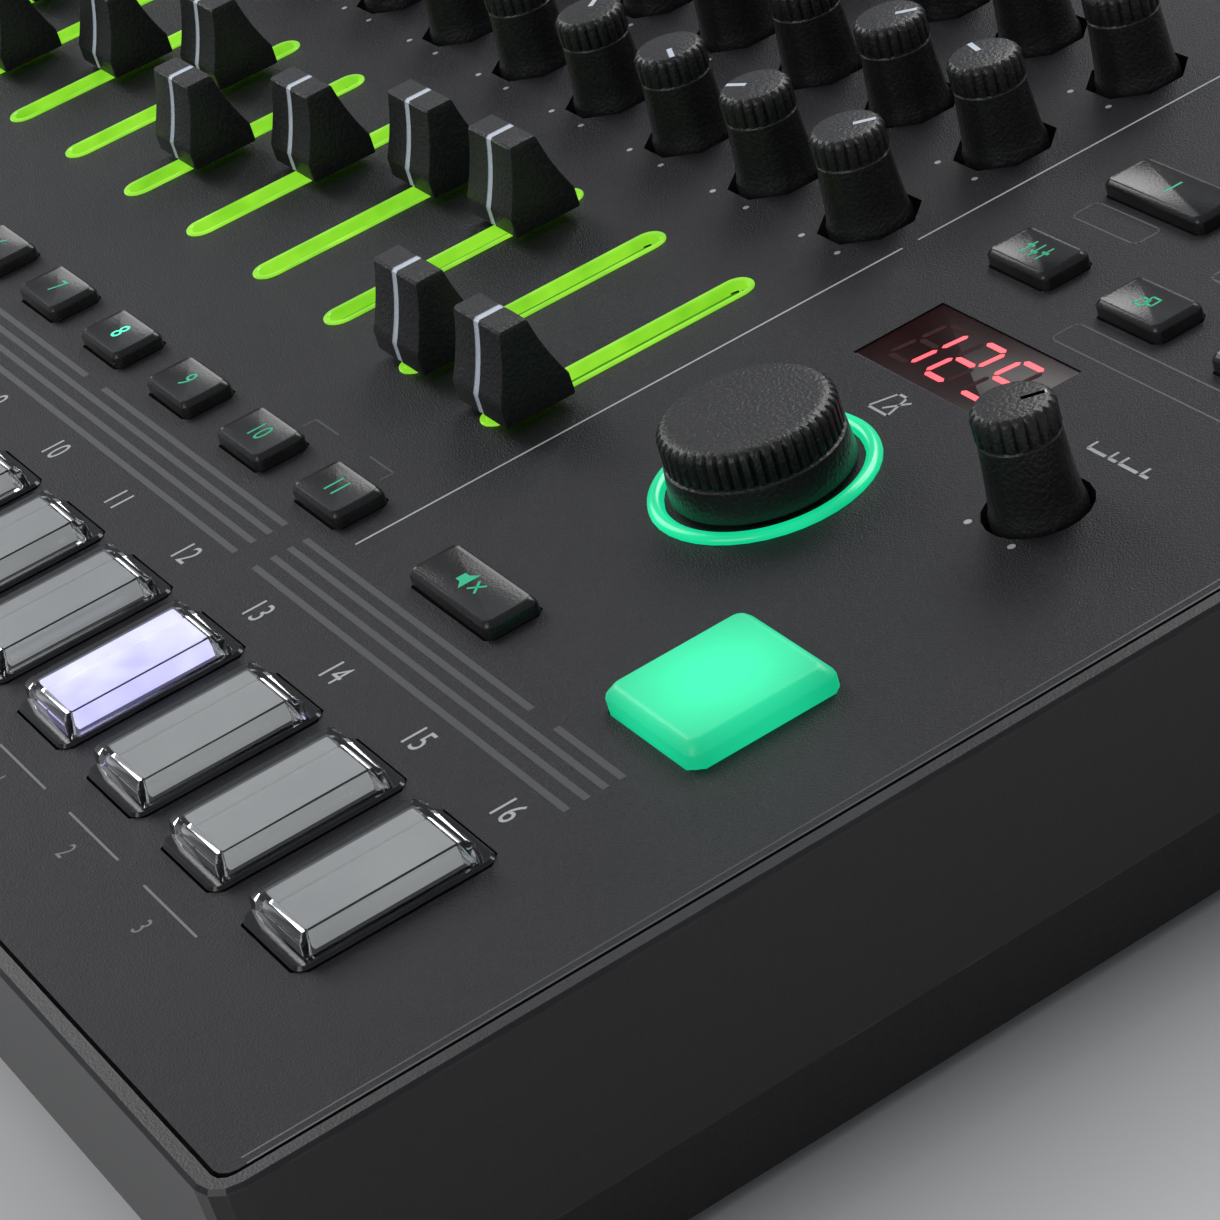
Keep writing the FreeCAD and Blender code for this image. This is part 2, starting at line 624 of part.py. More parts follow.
def feet():
    """Four rubber feet with a broken lower edge."""
    pads = []
    for x in (-FOOT_X, FOOT_X):
        for y in (-FOOT_Y, FOOT_Y):
            wide = ring_points(x, y, FOOT_R, 20)
            pads.append(skin([(ring_points(x, y, FOOT_R - 1.2, 20), 0.0), (wide, 1.0), (wide, TRAY_BOTTOM)]))
    return Part.makeCompound(pads)


def screws():
    """Eight case screws with a cross drive."""
    pieces = []
    for x, y in SCREW_SPOTS:
        z = TRAY_BOTTOM + 0.4
        head = prism(ring_points(x, y, SCREW_HEAD_R, 10), z, z + SCREW_HEAD_H)
        shank = prism(ring_points(x, y, SCREW_R, 6), z + SCREW_HEAD_H, PANEL_TOP - PANEL_THICK - 8)
        drive = centred(x, y, 3.0, 0.8, z - 1, z + 0.9).fuse(centred(x, y, 0.8, 3.0, z - 1, z + 0.9))
        pieces.append(head.fuse(shank).cut(drive).removeSplitter())
    return Part.makeCompound(pieces)


def control_board():
    """Board under the panel with a switch below every key."""
    half = RIGHT - BOARD_MARGIN_X
    board = block(-half, half, BOARD_FRONT, BOARD_REAR, BOARD_TOP - BOARD_THICK, BOARD_TOP)
    spots = [(step_x(n), STEP_Y) for n in range(1, STEP_COUNT + 1)]
    spots += [(x, y) for x, y, w, d in small_keys()]
    spots += [(PAD_X, PAD_Y), (COLUMN_X, START_Y)]
    size = SWITCH_SIZE
    bodies = [centred(x, y, size, size, BOARD_TOP - 0.2, BOARD_TOP + SWITCH_H) for x, y in spots]
    return board.fuse(bodies).removeSplitter()


def potentiometers():
    """Slide and rotary controls that stand on the control board."""
    low = BOARD_TOP + 0.05
    top = PANEL_TOP - PANEL_THICK - 0.4
    y = guide_centre()
    pieces = []
    for n in range(1, CHANNELS + 1):
        body = centred(channel_x(n), y, SLIDE_POT_W, FADER_TRAVEL + 24.0, low, top)
        slot = centred(channel_x(n), y, LEVER_W + 1.0, FADER_TRAVEL + LEVER_D + 1.2, low + 1.2, top + 1)
        pieces.append(body.cut(slot))
    spots = knob_spots() + [(SHUFFLE_X, SHUFFLE_Y), (TEMPO_X, TEMPO_Y), (VALUE_X, SCREEN_Y)]
    pieces += [centred(x, y, POT_SIZE, POT_SIZE, low, BOARD_TOP + POT_H) for x, y in spots]
    return Part.makeCompound(pieces)


def phone_jack(x):
    """Jack body, threaded bush through the bay wall and a hexagon nut, bored for a plug."""
    rear = BAY_FACE_Y - BAY_WALL - 0.1
    front = rear - PHONE_BODY_D
    half = PHONE_BODY_W / 2
    body = block(x - half, x + half, front, rear, JACK_BOARD_TOP, JACK_BOARD_TOP + PHONE_BODY_H)
    bush = across(ring_points(x, JACK_Z, PHONE_R, 10), rear - 1, BAY_FACE_Y + 2.5)
    nut = across(ring_points(x, JACK_Z, NUT_R, 6), BAY_FACE_Y + 0.1, BAY_FACE_Y + 0.1 + NUT_THICK)
    bore = across(ring_points(x, JACK_Z, PHONE_BORE_R, 8, True), front + 2.0, BAY_FACE_Y + 4)
    return body.fuse([bush, nut]).cut(bore).removeSplitter()


def din_socket(x):
    """Round five-pin socket with its shell groove and pin holes."""
    rear = BAY_FACE_Y - BAY_WALL - 0.1
    body = block(x - 9.0, x + 9.0, rear - 14.0, rear, JACK_BOARD_TOP, JACK_BOARD_TOP + 15.0)
    socket = body.fuse(across(ring_points(x, DIN_Z, DIN_R, 20), rear - 1, BAY_FACE_Y - 0.3))
    groove = across(ring_points(x, DIN_Z, 6.6, 20), BAY_FACE_Y - 8, BAY_FACE_Y + 1)
    socket = socket.cut(groove.cut(across(ring_points(x, DIN_Z, 5.4, 20), BAY_FACE_Y - 9, BAY_FACE_Y + 2)))
    for i in range(5):
        a = math.radians(180 + 45 * i)
        pin = ring_points(x + 3.6 * math.cos(a), DIN_Z + 3.6 * math.sin(a), 0.7, 4)
        socket = socket.cut(across(pin, BAY_FACE_Y - 7, BAY_FACE_Y + 1))
    return socket


def usb_socket():
    """Square data socket with its tongue."""
    rear = BAY_FACE_Y - BAY_WALL - 0.1
    x0 = USB_X - USB_W / 2
    x1 = USB_X + USB_W / 2
    shell = block(x0, x1, rear - 14.0, BAY_FACE_Y + 0.3, JACK_BOARD_TOP, JACK_Z + USB_H / 2)
    shell = shell.cut(block(x0 - 1, x1 + 1, rear, BAY_FACE_Y + 1, 0, JACK_Z - USB_H / 2))
    mouth_y = BAY_FACE_Y - 8.0
    shell = shell.cut(block(USB_X - 4.2, USB_X + 4.2, mouth_y, BAY_FACE_Y + 1, JACK_Z - 3.9, JACK_Z + 3.9))
    tongue = block(USB_X - 2.8, USB_X + 2.8, mouth_y - 0.2, BAY_FACE_Y - 1, JACK_Z - 1.6, JACK_Z + 1.6)
    return shell.fuse(tongue)


def power_inlet():
    """Round low-voltage inlet with its centre pin."""
    rear = BAY_FACE_Y - BAY_WALL - 0.1
    body = block(DC_X - 7.0, DC_X + 7.0, rear - 12.0, rear, JACK_BOARD_TOP, JACK_Z + 5.0)
    body = body.fuse(across(ring_points(DC_X, JACK_Z, DC_R, 12), rear - 1, BAY_FACE_Y + 0.5))
    body = body.cut(across(ring_points(DC_X, JACK_Z, 3.2, 12), BAY_FACE_Y - 9, BAY_FACE_Y + 1))
    return body.fuse(across(ring_points(DC_X, JACK_Z, 1.0, 6), BAY_FACE_Y - 9.5, BAY_FACE_Y - 1))


def switch_housing():
    """Housing of the slide power switch, open for its button."""
    rear = BAY_FACE_Y - BAY_WALL - 0.1
    half = SWITCH_W / 2
    tall = SWITCH_TALL / 2
    x0 = SWITCH_X - half
    x1 = SWITCH_X + half
    housing = block(x0, x1, rear - 12.0, BAY_FACE_Y + 0.4, JACK_Z - tall, JACK_Z + tall)
    housing = housing.fuse(block(x0, x1, rear - 12.0, rear, JACK_BOARD_TOP, JACK_Z))
    mouth = block(SWITCH_X - half + 1, SWITCH_X + half - 1, BAY_FACE_Y - 3, BAY_FACE_Y + 1,
                  JACK_Z - tall + 1, JACK_Z + tall - 1)
    return housing.cut(mouth)


def jack_board():
    """Rear board with every socket soldered on it."""
    low = JACK_BOARD_TOP - BOARD_THICK
    rear = BAY_FACE_Y - BAY_WALL - 2.5
    board = block(LEFT + 18.5, RIGHT - 24.5, rear - JACK_BOARD_D, rear, low, JACK_BOARD_TOP)
    for x, y in SCREW_SPOTS[5:]:
        board = board.cut(centred(x, y, 2 * BOSS_R + 3, 2 * BOSS_R + 3, low - 1, JACK_BOARD_TOP + 1))
    sockets = [phone_jack(phone_x(n)) for n in range(1, PHONE_COUNT + 1)]
    sockets += [din_socket(x) for x in DIN_X]
    return Part.makeCompound([board] + sockets + [usb_socket(), power_inlet(), switch_housing()])


def power_switch():
    """Button of the slide switch, at the left end of its travel, with finger grooves."""
    x0 = SWITCH_X - SWITCH_W / 2 + 1.8
    x1 = x0 + 4.5
    button = block(x0, x1, BAY_FACE_Y - 2.6, BAY_FACE_Y + 2.4, JACK_Z - 2.0, JACK_Z + 2.0)
    for i in range(3):
        x = x0 + 1.15 + i * 1.1
        button = button.cut(block(x - 0.2, x + 0.2, BAY_FACE_Y + 2.0, BAY_FACE_Y + 3, JACK_Z - 3, JACK_Z + 3))
    return button


def lit_window(x, y, width, depth, window_thick, sunk):
    """Flat display: block on the board under a window set in the panel."""
    top = PANEL_TOP - sunk
    module = centred(x, y, width - 2.0, depth - 1.0, BOARD_TOP + 0.1, top - window_thick)
    return module.fuse(centred(x, y, width, depth, top - window_thick, top))


def build():
    """All pieces by node name."""
    key_sizes = (SELECT_H, SELECT_TRAVEL, KEY_BEVEL)
    parts = {
        "top_panel": top_panel(),
        "case": case(),
        "bottom_case": bottom_case(),
        "feet": feet(),
        "screws": screws(),
        "control_board": control_board(),
        "potentiometers": potentiometers(),
        "jack_board": jack_board(),
        "light_guides": light_guides(),
        "display": lit_window(WINDOW_X, WINDOW_Y, WINDOW_W, WINDOW_D, 1.5, 0.1),
        "screen": lit_window(SCREEN_X, SCREEN_Y, SCREEN_W, SCREEN_D, 1.5, 0.2),
        "panel_knobs": Part.makeCompound([slim_knob(x, y, KNOB_H - 0.5, 8) for x, y in knob_spots()]),
        "menu_keys": Part.makeCompound([push_key(x, y, w, KEY_D, *key_sizes) for x, y, w in MENU_EXTRA]),
        "power_switch": power_switch(),
        "tempo_knob": wide_knob(TEMPO_X, TEMPO_Y, TEMPO_R, TEMPO_H, TEMPO_RIBS),
        "value_knob": wide_knob(VALUE_X, SCREEN_Y, VALUE_R, VALUE_H, VALUE_RIBS),
        "shuffle_knob": ribbed_slim_knob(SHUFFLE_X, SHUFFLE_Y, KNOB_H, SHUFFLE_RIBS),
        "instrument_pad": push_key(PAD_X, PAD_Y, PAD_SIZE, PAD_SIZE, PAD_H, PAD_TRAVEL, PAD_BEVEL, 1.5),
        "start_key": push_key(COLUMN_X, START_Y, START_SIZE, START_SIZE, PAD_H, PAD_TRAVEL, PAD_BEVEL, 1.5),
        "mute_key": push_key(MUTE_X, SELECT_Y, WIDE_KEY_W, KEY_D, *key_sizes),
        "menu_key_left": push_key(MENU_LEFT_X, MENU_Y, KEY_W, KEY_D, *key_sizes),
        "menu_key_right": push_key(MENU_RIGHT_X, MENU_Y, KEY_W, KEY_D, *key_sizes),
    }
    for n in range(1, STEP_COUNT + 1):
        parts["step_key_%02d" % n] = step_key(n)
    for n in range(1, CHANNELS + 1):
        parts["select_key_%02d" % n] = push_key(channel_x(n), SELECT_Y, SELECT_W, SELECT_D, *key_sizes)
        parts["fader_cap_%02d" % n] = fader_cap(n)
    return parts


os.makedirs("parts", exist_ok=True)
for name, shape in build().items():
    shape.exportStep("parts/%s.step" % name)
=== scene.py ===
"""Looks for the drum machine: finished pieces, prints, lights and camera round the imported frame.

Lengths are in metres in the frame's own axes: X to the right, Y to the back, Z up.
"""

import bmesh
import bpy
import json
import math
from mathutils import Matrix, Vector

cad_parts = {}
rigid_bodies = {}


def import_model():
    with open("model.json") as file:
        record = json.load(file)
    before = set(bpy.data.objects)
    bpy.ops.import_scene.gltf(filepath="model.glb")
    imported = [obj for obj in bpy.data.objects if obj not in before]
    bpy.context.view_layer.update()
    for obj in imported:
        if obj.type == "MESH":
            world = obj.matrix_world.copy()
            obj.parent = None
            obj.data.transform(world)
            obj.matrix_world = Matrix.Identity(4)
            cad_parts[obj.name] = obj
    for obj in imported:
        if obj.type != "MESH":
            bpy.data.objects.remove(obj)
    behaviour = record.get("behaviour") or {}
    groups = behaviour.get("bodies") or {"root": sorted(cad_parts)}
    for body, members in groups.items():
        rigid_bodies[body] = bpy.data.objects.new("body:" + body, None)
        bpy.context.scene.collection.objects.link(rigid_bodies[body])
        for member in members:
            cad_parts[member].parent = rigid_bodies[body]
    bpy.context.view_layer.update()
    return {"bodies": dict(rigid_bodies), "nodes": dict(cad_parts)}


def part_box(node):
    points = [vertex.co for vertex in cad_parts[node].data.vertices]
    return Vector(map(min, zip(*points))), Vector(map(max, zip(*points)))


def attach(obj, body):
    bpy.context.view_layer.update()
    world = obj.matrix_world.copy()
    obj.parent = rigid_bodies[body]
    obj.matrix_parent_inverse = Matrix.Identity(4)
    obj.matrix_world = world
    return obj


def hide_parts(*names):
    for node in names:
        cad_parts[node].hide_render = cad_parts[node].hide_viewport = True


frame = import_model()

MM = 0.001
STEP_COUNT = 16
CHANNELS = 11
LIT_STEP = 13
LIT_SELECT = 8
PANEL_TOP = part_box("top_panel")[1].z
PRINT_LIFT = 0.02 * MM
SMOOTH_ANGLE = math.radians(32)


def node_centre(node):
    low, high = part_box(node)
    return (low + high) / 2


STEP_X = [node_centre("step_key_%02d" % n).x for n in range(1, STEP_COUNT + 1)]
STEP_Y = node_centre("step_key_01").y
CHANNEL_X = [node_centre("select_key_%02d" % n).x for n in range(1, CHANNELS + 1)]
KNOB_ROWS = [21 * MM, 43 * MM, 65 * MM]
LEFT_KNOBS = [(-178 * MM, y * MM) for y in (-42, -16, 34, 58, 84)]
FADER_HALF_DEPTH = 5.2 * MM
FADER_LOW_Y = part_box("fader_cap_11")[0].y + FADER_HALF_DEPTH
FADER_TRAVEL = 30 * MM
GUIDE_LENGTH = 41.2 * MM
GUIDE_WIDTH = 5.0 * MM
GUIDE_WALL = 0.8 * MM
TEMPO = node_centre("tempo_knob")
SHUFFLE = node_centre("shuffle_knob")
PAD = node_centre("instrument_pad")
WINDOW = node_centre("display")


# shader groups
def new_group(name, inputs, outputs):
    """Shader node group with named sockets; each entry is (name, type, default or None)."""
    tree = bpy.data.node_groups.new(name, "ShaderNodeTree")
    for socket_name, kind, default in inputs:
        socket = tree.interface.new_socket(socket_name, in_out="INPUT", socket_type=kind)
        if default is not None:
            socket.default_value = default
    for socket_name, kind in outputs:
        tree.interface.new_socket(socket_name, in_out="OUTPUT", socket_type=kind)
    return tree, tree.nodes.new("NodeGroupInput"), tree.nodes.new("NodeGroupOutput")


def add_node(tree, kind, links=None, **settings):
    """New node; settings are its properties, links are socket name or index to value or socket."""
    node = tree.nodes.new(kind)
    for key, value in settings.items():
        setattr(node, key, value)
    for key, value in (links or {}).items():
        if isinstance(value, bpy.types.NodeSocket):
            tree.links.new(value, node.inputs[key])
        else:
            node.inputs[key].default_value = value
    return node


def calculate(tree, operation, *values):
    """Result of a math node; values are numbers or sockets."""
    node = add_node(tree, "ShaderNodeMath", dict(enumerate(values)), operation=operation)
    return node.outputs["Value"]


def spread_range(tree, value, low, high):
    """Value spread from low and high to 0 and 1."""
    node = add_node(tree, "ShaderNodeMapRange", {"Value": value, "From Min": low, "From Max": high})
    return node.outputs["Result"]


def powder_grain_group():
    """Fine raised grain: gives a mask of the grain and a bumped normal."""
    tree, group_in, group_out = new_group(
        "Powder Grain",
        [("Vector", "NodeSocketVector", None), ("Scale", "NodeSocketFloat", 2600.0),
         ("Height", "NodeSocketFloat", 0.25)],
        [("Mask", "NodeSocketFloat"), ("Normal", "NodeSocketVector")])
    fine = add_node(tree, "ShaderNodeTexNoise", {
        "Vector": group_in.outputs["Vector"], "Scale": group_in.outputs["Scale"], "Detail": 2.0})
    steep = spread_range(tree, fine.outputs["Fac"], 0.35, 0.7)
    bump = add_node(tree, "ShaderNodeBump", {
        "Strength": group_in.outputs["Height"], "Distance": 0.0001, "Height": steep})
    tree.links.new(steep, group_out.inputs["Mask"])
    tree.links.new(bump.outputs["Normal"], group_out.inputs["Normal"])
    return tree


def edge_wear_group():
    """Mask of edges that hands and bags rub, broken up by noise."""
    tree, group_in, group_out = new_group(
        "Edge Wear",
        [("Vector", "NodeSocketVector", None), ("Width", "NodeSocketFloat", 0.0004),
         ("Amount", "NodeSocketFloat", 0.5)],
        [("Mask", "NodeSocketFloat")])
    bevel = add_node(tree, "ShaderNodeBevel", {"Radius": group_in.outputs["Width"]}, samples=4)
    geometry = add_node(tree, "ShaderNodeNewGeometry")
    dot = add_node(tree, "ShaderNodeVectorMath", {
        0: bevel.outputs["Normal"], 1: geometry.outputs["Normal"]}, operation="DOT_PRODUCT")
    edge = spread_range(tree, dot.outputs["Value"], 0.995, 0.85)
    noise = add_node(tree, "ShaderNodeTexNoise", {
        "Vector": group_in.outputs["Vector"], "Scale": 180.0, "Detail": 4.0})
    broken = spread_range(tree, noise.outputs["Fac"], 0.4, 0.65)
    mask = calculate(tree, "MULTIPLY", edge, broken)
    scaled = calculate(tree, "MULTIPLY", mask, group_in.outputs["Amount"])
    tree.links.new(scaled, group_out.inputs["Mask"])
    return tree


def dust_group():
    """Mask of thin dust and finger smears that lie on faces turned upwards."""
    tree, group_in, group_out = new_group(
        "Dust",
        [("Vector", "NodeSocketVector", None), ("Amount", "NodeSocketFloat", 0.3)],
        [("Mask", "NodeSocketFloat")])
    geometry = add_node(tree, "ShaderNodeNewGeometry")
    split = add_node(tree, "ShaderNodeSeparateXYZ", {"Vector": geometry.outputs["Normal"]})
    up = spread_range(tree, split.outputs["Z"], 0.3, 1.0)
    cloud = add_node(tree, "ShaderNodeTexNoise", {
        "Vector": group_in.outputs["Vector"], "Scale": 22.0, "Detail": 6.0, "Roughness": 0.65})
    patch = spread_range(tree, cloud.outputs["Fac"], 0.42, 0.75)
    mask = calculate(tree, "MULTIPLY", up, patch)
    scaled = calculate(tree, "MULTIPLY", mask, group_in.outputs["Amount"])
    tree.links.new(scaled, group_out.inputs["Mask"])
    return tree


GRAIN = powder_grain_group()
WEAR = edge_wear_group()
DUST = dust_group()


def start_material(name):
    material = bpy.data.materials.new(name)
    material.use_nodes = True
    tree = material.node_tree
    shader = tree.nodes["Principled BSDF"]
    place = tree.nodes.new("ShaderNodeTexCoord").outputs["Object"]
    return material, tree, shader, place


def use_group(tree, group, place, **values):
    node = tree.nodes.new("ShaderNodeGroup")
    node.node_tree = group
    tree.links.new(place, node.inputs["Vector"])
    for key, value in values.items():
        node.inputs[key].default_value = value
    return node


def blend_colour(tree, factor, first, second):
    """Colour mix; first and second are colours or sockets."""
    node = tree.nodes.new("ShaderNodeMix")
    node.data_type = "RGBA"
    tree.links.new(factor, node.inputs["Factor"])
    for socket, value in ((node.inputs[6], first), (node.inputs[7], second)):
        if isinstance(value, bpy.types.NodeSocket):
            tree.links.new(value, socket)
        else:
            socket.default_value = (*value, 1.0)
    return node.outputs[2]


def dimmer(colour, share):
    return tuple(c * share for c in colour)


def coated(name, colour, worn, rough, grain_scale, grain_height, dust=0.25, wear=0.3, metal=0.0,
           shine=0.38):
    """Grained or moulded finish with rubbed edges and a little dust."""
    material, tree, shader, place = start_material(name)
    grain = use_group(tree, GRAIN, place, Scale=grain_scale, Height=grain_height)
    edges = use_group(tree, WEAR, place, Amount=wear)
    film = use_group(tree, DUST, place, Amount=dust)
    base = blend_colour(tree, grain.outputs["Mask"], dimmer(colour, 0.6), colour)
    base = blend_colour(tree, edges.outputs["Mask"], base, worn)
    base = blend_colour(tree, film.outputs["Mask"], base, (0.10, 0.10, 0.11))
    tree.links.new(base, shader.inputs["Base Color"])
    roughness = add_node(tree, "ShaderNodeMapRange", {
        "Value": film.outputs["Mask"], "To Min": rough, "To Max": min(rough + 0.25, 1.0)})
    tree.links.new(roughness.outputs["Result"], shader.inputs["Roughness"])
    tree.links.new(grain.outputs["Normal"], shader.inputs["Normal"])
    shader.inputs["Metallic"].default_value = metal
    shader.inputs["Specular IOR Level"].default_value = shine
    return material


def glowing(name, colour, edge_colour, strength, rough=0.35, noise_scale=60.0):
    """Plastic with its own light that varies softly over the surface: LED-lit parts, and a painted glow on
    unlit parts.
    """
    material, tree, shader, place = start_material(name)
    cloud = add_node(tree, "ShaderNodeTexNoise", {"Vector": place, "Scale": noise_scale, "Detail": 2.0})
    spread = spread_range(tree, cloud.outputs["Fac"], 0.3, 0.7)
    tone = blend_colour(tree, spread, edge_colour, colour)
    body = blend_colour(tree, spread, dimmer(edge_colour, 0.3), dimmer(colour, 0.3))
    tree.links.new(body, shader.inputs["Base Color"])
    tree.links.new(tone, shader.inputs["Emission Color"])
    shader.inputs["Emission Strength"].default_value = strength
    shader.inputs["Roughness"].default_value = rough
    return material


def frosted_pad_material(name, centre, half, colour, rim_colour, strength):
    """Frosted block lit from below: brightest near its middle, deeper towards its edges."""
    material, tree, shader, place = start_material(name)
    local = add_node(tree, "ShaderNodeMapping", {
        "Vector": place, "Location": (-centre.x / half, -centre.y / half, 0),
        "Scale": (1 / half, 1 / half, 0)}, vector_type="POINT")
    distance = add_node(tree, "ShaderNodeVectorMath", {0: local.outputs["Vector"]}, operation="LENGTH")
    cloud = add_node(tree, "ShaderNodeTexNoise", {"Vector": place, "Scale": 90.0, "Detail": 3.0})
    wobble = calculate(tree, "MULTIPLY_ADD", cloud.outputs["Fac"], 0.25, distance.outputs["Value"])
    fall = spread_range(tree, wobble, 0.45, 1.45)
    tone = blend_colour(tree, fall, colour, rim_colour)
    body = blend_colour(tree, fall, dimmer(colour, 0.35), dimmer(rim_colour, 0.5))
    tree.links.new(body, shader.inputs["Base Color"])
    tree.links.new(tone, shader.inputs["Emission Color"])
    grain = use_group(tree, GRAIN, place, Scale=3200.0, Height=0.12)
    tree.links.new(grain.outputs["Normal"], shader.inputs["Normal"])
    shader.inputs["Emission Strength"].default_value = strength
    shader.inputs["Roughness"].default_value = 0.42
    shader.inputs["Subsurface Weight"].default_value = 0.25
    shader.inputs["Subsurface Radius"].default_value = (0.002, 0.004, 0.003)
    return material


def clear_acrylic_material():
    material, tree, shader, place = start_material("clear acrylic")
    smear = add_node(tree, "ShaderNodeTexNoise", {"Vector": place, "Scale": 140.0, "Detail": 3.0})
    rough = add_node(tree, "ShaderNodeMapRange", {
        "Value": smear.outputs["Fac"], "To Min": 0.01, "To Max": 0.09})
    tree.links.new(rough.outputs["Result"], shader.inputs["Roughness"])
    tint = blend_colour(tree, smear.outputs["Fac"], (0.97, 0.98, 1.0), (0.93, 0.95, 0.98))
    tree.links.new(tint, shader.inputs["Base Color"])
    shader.inputs["Transmission Weight"].default_value = 1.0
    shader.inputs["IOR"].default_value = 1.49
    return material


BAY_FACE = 128.45 * MM
PHONES_FROM = -80 * MM
JACK_BOARD_TOP = 24.11 * MM


def jack_board_material():
    """Sockets: green board below, black bodies and plated bushes outside the case wall."""
    material, tree, shader, place = start_material("rear sockets")
    split = add_node(tree, "ShaderNodeSeparateXYZ", {"Vector": place})
    outside = calculate(tree, "GREATER_THAN", split.outputs["Y"], BAY_FACE)
    phones = calculate(tree, "GREATER_THAN", split.outputs["X"], PHONES_FROM)
    plated = calculate(tree, "MULTIPLY", outside, phones)
    board = calculate(tree, "LESS_THAN", split.outputs["Z"], JACK_BOARD_TOP)
    grain = use_group(tree, GRAIN, place, Scale=1500.0, Height=0.1)
    plastic = blend_colour(tree, grain.outputs["Mask"], (0.012, 0.012, 0.013), (0.022, 0.022, 0.024))
    base = blend_colour(tree, board, plastic, (0.015, 0.11, 0.05))
    base = blend_colour(tree, plated, base, (0.55, 0.55, 0.56))
    tree.links.new(base, shader.inputs["Base Color"])
    tree.links.new(plated, shader.inputs["Metallic"])
    tree.links.new(grain.outputs["Normal"], shader.inputs["Normal"])
    shader.inputs["Roughness"].default_value = 0.32
    return material


def printed(name, colour, rough=0.5):
    """Screen-printed ink: slightly uneven cover over the powder coat."""
    material, tree, shader, place = start_material(name)
    cover = add_node(tree, "ShaderNodeTexNoise", {"Vector": place, "Scale": 1800.0, "Detail": 2.0})
    tone = blend_colour(tree, cover.outputs["Fac"], dimmer(colour, 0.72), colour)
    tree.links.new(tone, shader.inputs["Base Color"])
    shader.inputs["Roughness"].default_value = rough
    return material


MATERIALS = {
    "panel": coated("powder coat", (0.0115, 0.0115, 0.0145), (0.05, 0.05, 0.055), 0.44, 4600.0, 0.5,
                    0.05, 0.15, shine=0.22),
    "case": coated("satin case", (0.010, 0.010, 0.011), (0.09, 0.09, 0.095), 0.36, 3200.0, 0.15, 0.12, 0.45),
    "tray": coated("moulded tray", (0.014, 0.014, 0.015), (0.03, 0.03, 0.03), 0.55, 1500.0, 0.4, 0.1, 0.1),
    "rubber": coated("foot rubber", (0.016, 0.016, 0.016), (0.03, 0.03, 0.03), 0.8, 1200.0, 0.5, 0.3, 0.2),
    "screw": coated("blackened screw", (0.1, 0.1, 0.105), (0.3, 0.3, 0.3), 0.35, 2000.0, 0.1, 0.1, 0.5, 1.0),
    "board": coated("board green", (0.01, 0.09, 0.04), (0.1, 0.2, 0.1), 0.35, 900.0, 0.1, 0.2, 0.1),
    "pots": coated("plated cans", (0.45, 0.45, 0.43), (0.6, 0.6, 0.6), 0.35, 900.0, 0.1, 0.2, 0.1, 1.0),
    "key": coated("key black", (0.012, 0.012, 0.0125), (0.10, 0.10, 0.105), 0.24, 2600.0, 0.10, 0.06, 0.35),
    "cap": coated("fader cap black", (0.018, 0.018, 0.019), (0.09, 0.09, 0.095), 0.38, 1900.0, 0.45,
                  0.06, 0.35),
    "knob": coated("knob black", (0.013, 0.013, 0.0135), (0.09, 0.09, 0.095), 0.34, 1900.0, 0.45, 0.06, 0.3),
    "line": printed("index line", (0.62, 0.68, 0.76), 0.35),
    "print": printed("grey print", (0.42, 0.43, 0.45)),
    "print_dim": printed("dark grey print", (0.070, 0.071, 0.076), 0.30),
    "print_mid": printed("middle grey print", (0.16, 0.162, 0.17)),
    "flange": coated("gloss black", (0.008, 0.008, 0.0085), (0.12, 0.12, 0.12), 0.12, 1200.0, 0.03,
                     0.05, 0.3),
    # unlit step diffusers glow faintly: painted light standing in for the light that reaches them through the
    # clear caps
    "diffuser": glowing("pale diffuser painted glow", (0.40, 0.41, 0.40), (0.33, 0.34, 0.335), 0.62, 0.6, 40.0),
    "lit_diffuser": glowing("lit diffuser", (0.80, 0.80, 1.0), (0.50, 0.47, 1.0), 1.15, 0.5, 110.0),
    "legend": glowing("green legend", (0.01, 0.50, 0.25), (0.005, 0.36, 0.18), 0.75),
    "legend_lit": glowing("lit green legend", (0.10, 1.0, 0.55), (0.05, 0.85, 0.45), 1.6),
    "guide": glowing("lime guide", (0.33, 0.80, 0.04), (0.20, 0.60, 0.02), 0.9, 0.22, 150.0),
    "guide_floor": glowing("lime trough", (0.085, 0.33, 0.012), (0.05, 0.22, 0.008), 0.55, 0.4, 90.0),
    "ring": glowing("emerald ring", (0.005, 0.80, 0.36), (0.003, 0.55, 0.24), 0.95, 0.2, 70.0),
    "digit": glowing("red digit", (1.0, 0.10, 0.12), (0.95, 0.05, 0.07), 2.2),
    "digit_off": coated("unlit digit", (0.035, 0.002, 0.002), (0.03, 0.0, 0.0), 0.4, 900.0, 0.0, 0.0, 0.0,
                        shine=0.1),
    "window": coated("tinted window", (0.016, 0.0008, 0.001), (0.1, 0.03, 0.03), 0.3, 900.0, 0.0, 0.02, 0.1,
                     shine=0.15),
    "screen": coated("screen glass", (0.006, 0.008, 0.010), (0.1, 0.1, 0.1), 0.2, 900.0, 0.0, 0.03, 0.1),
    "screen_lit": glowing("screen glow", (0.30, 0.62, 0.80), (0.22, 0.5, 0.66), 0.9),
    "acrylic": clear_acrylic_material(),
    "sockets": jack_board_material(),
    "pad": frosted_pad_material("emerald pad", PAD, 10 * MM, (0.02, 0.88, 0.42), (0.004, 0.46, 0.21), 0.85),
    "start": frosted_pad_material("start pad", node_centre("start_key"), 11 * MM, (0.02, 0.60, 0.30),
                                  (0.004, 0.30, 0.14), 0.5),
}


# mesh building
def crisp_edges(mesh_data):
    """Smooth faces with sharp edges where they turn by more than the smooth angle."""
    for face in mesh_data.faces:
        face.smooth = True
    for edge in mesh_data.edges:
        edge.smooth = len(edge.link_faces) == 2 and edge.calc_face_angle(0) < SMOOTH_ANGLE


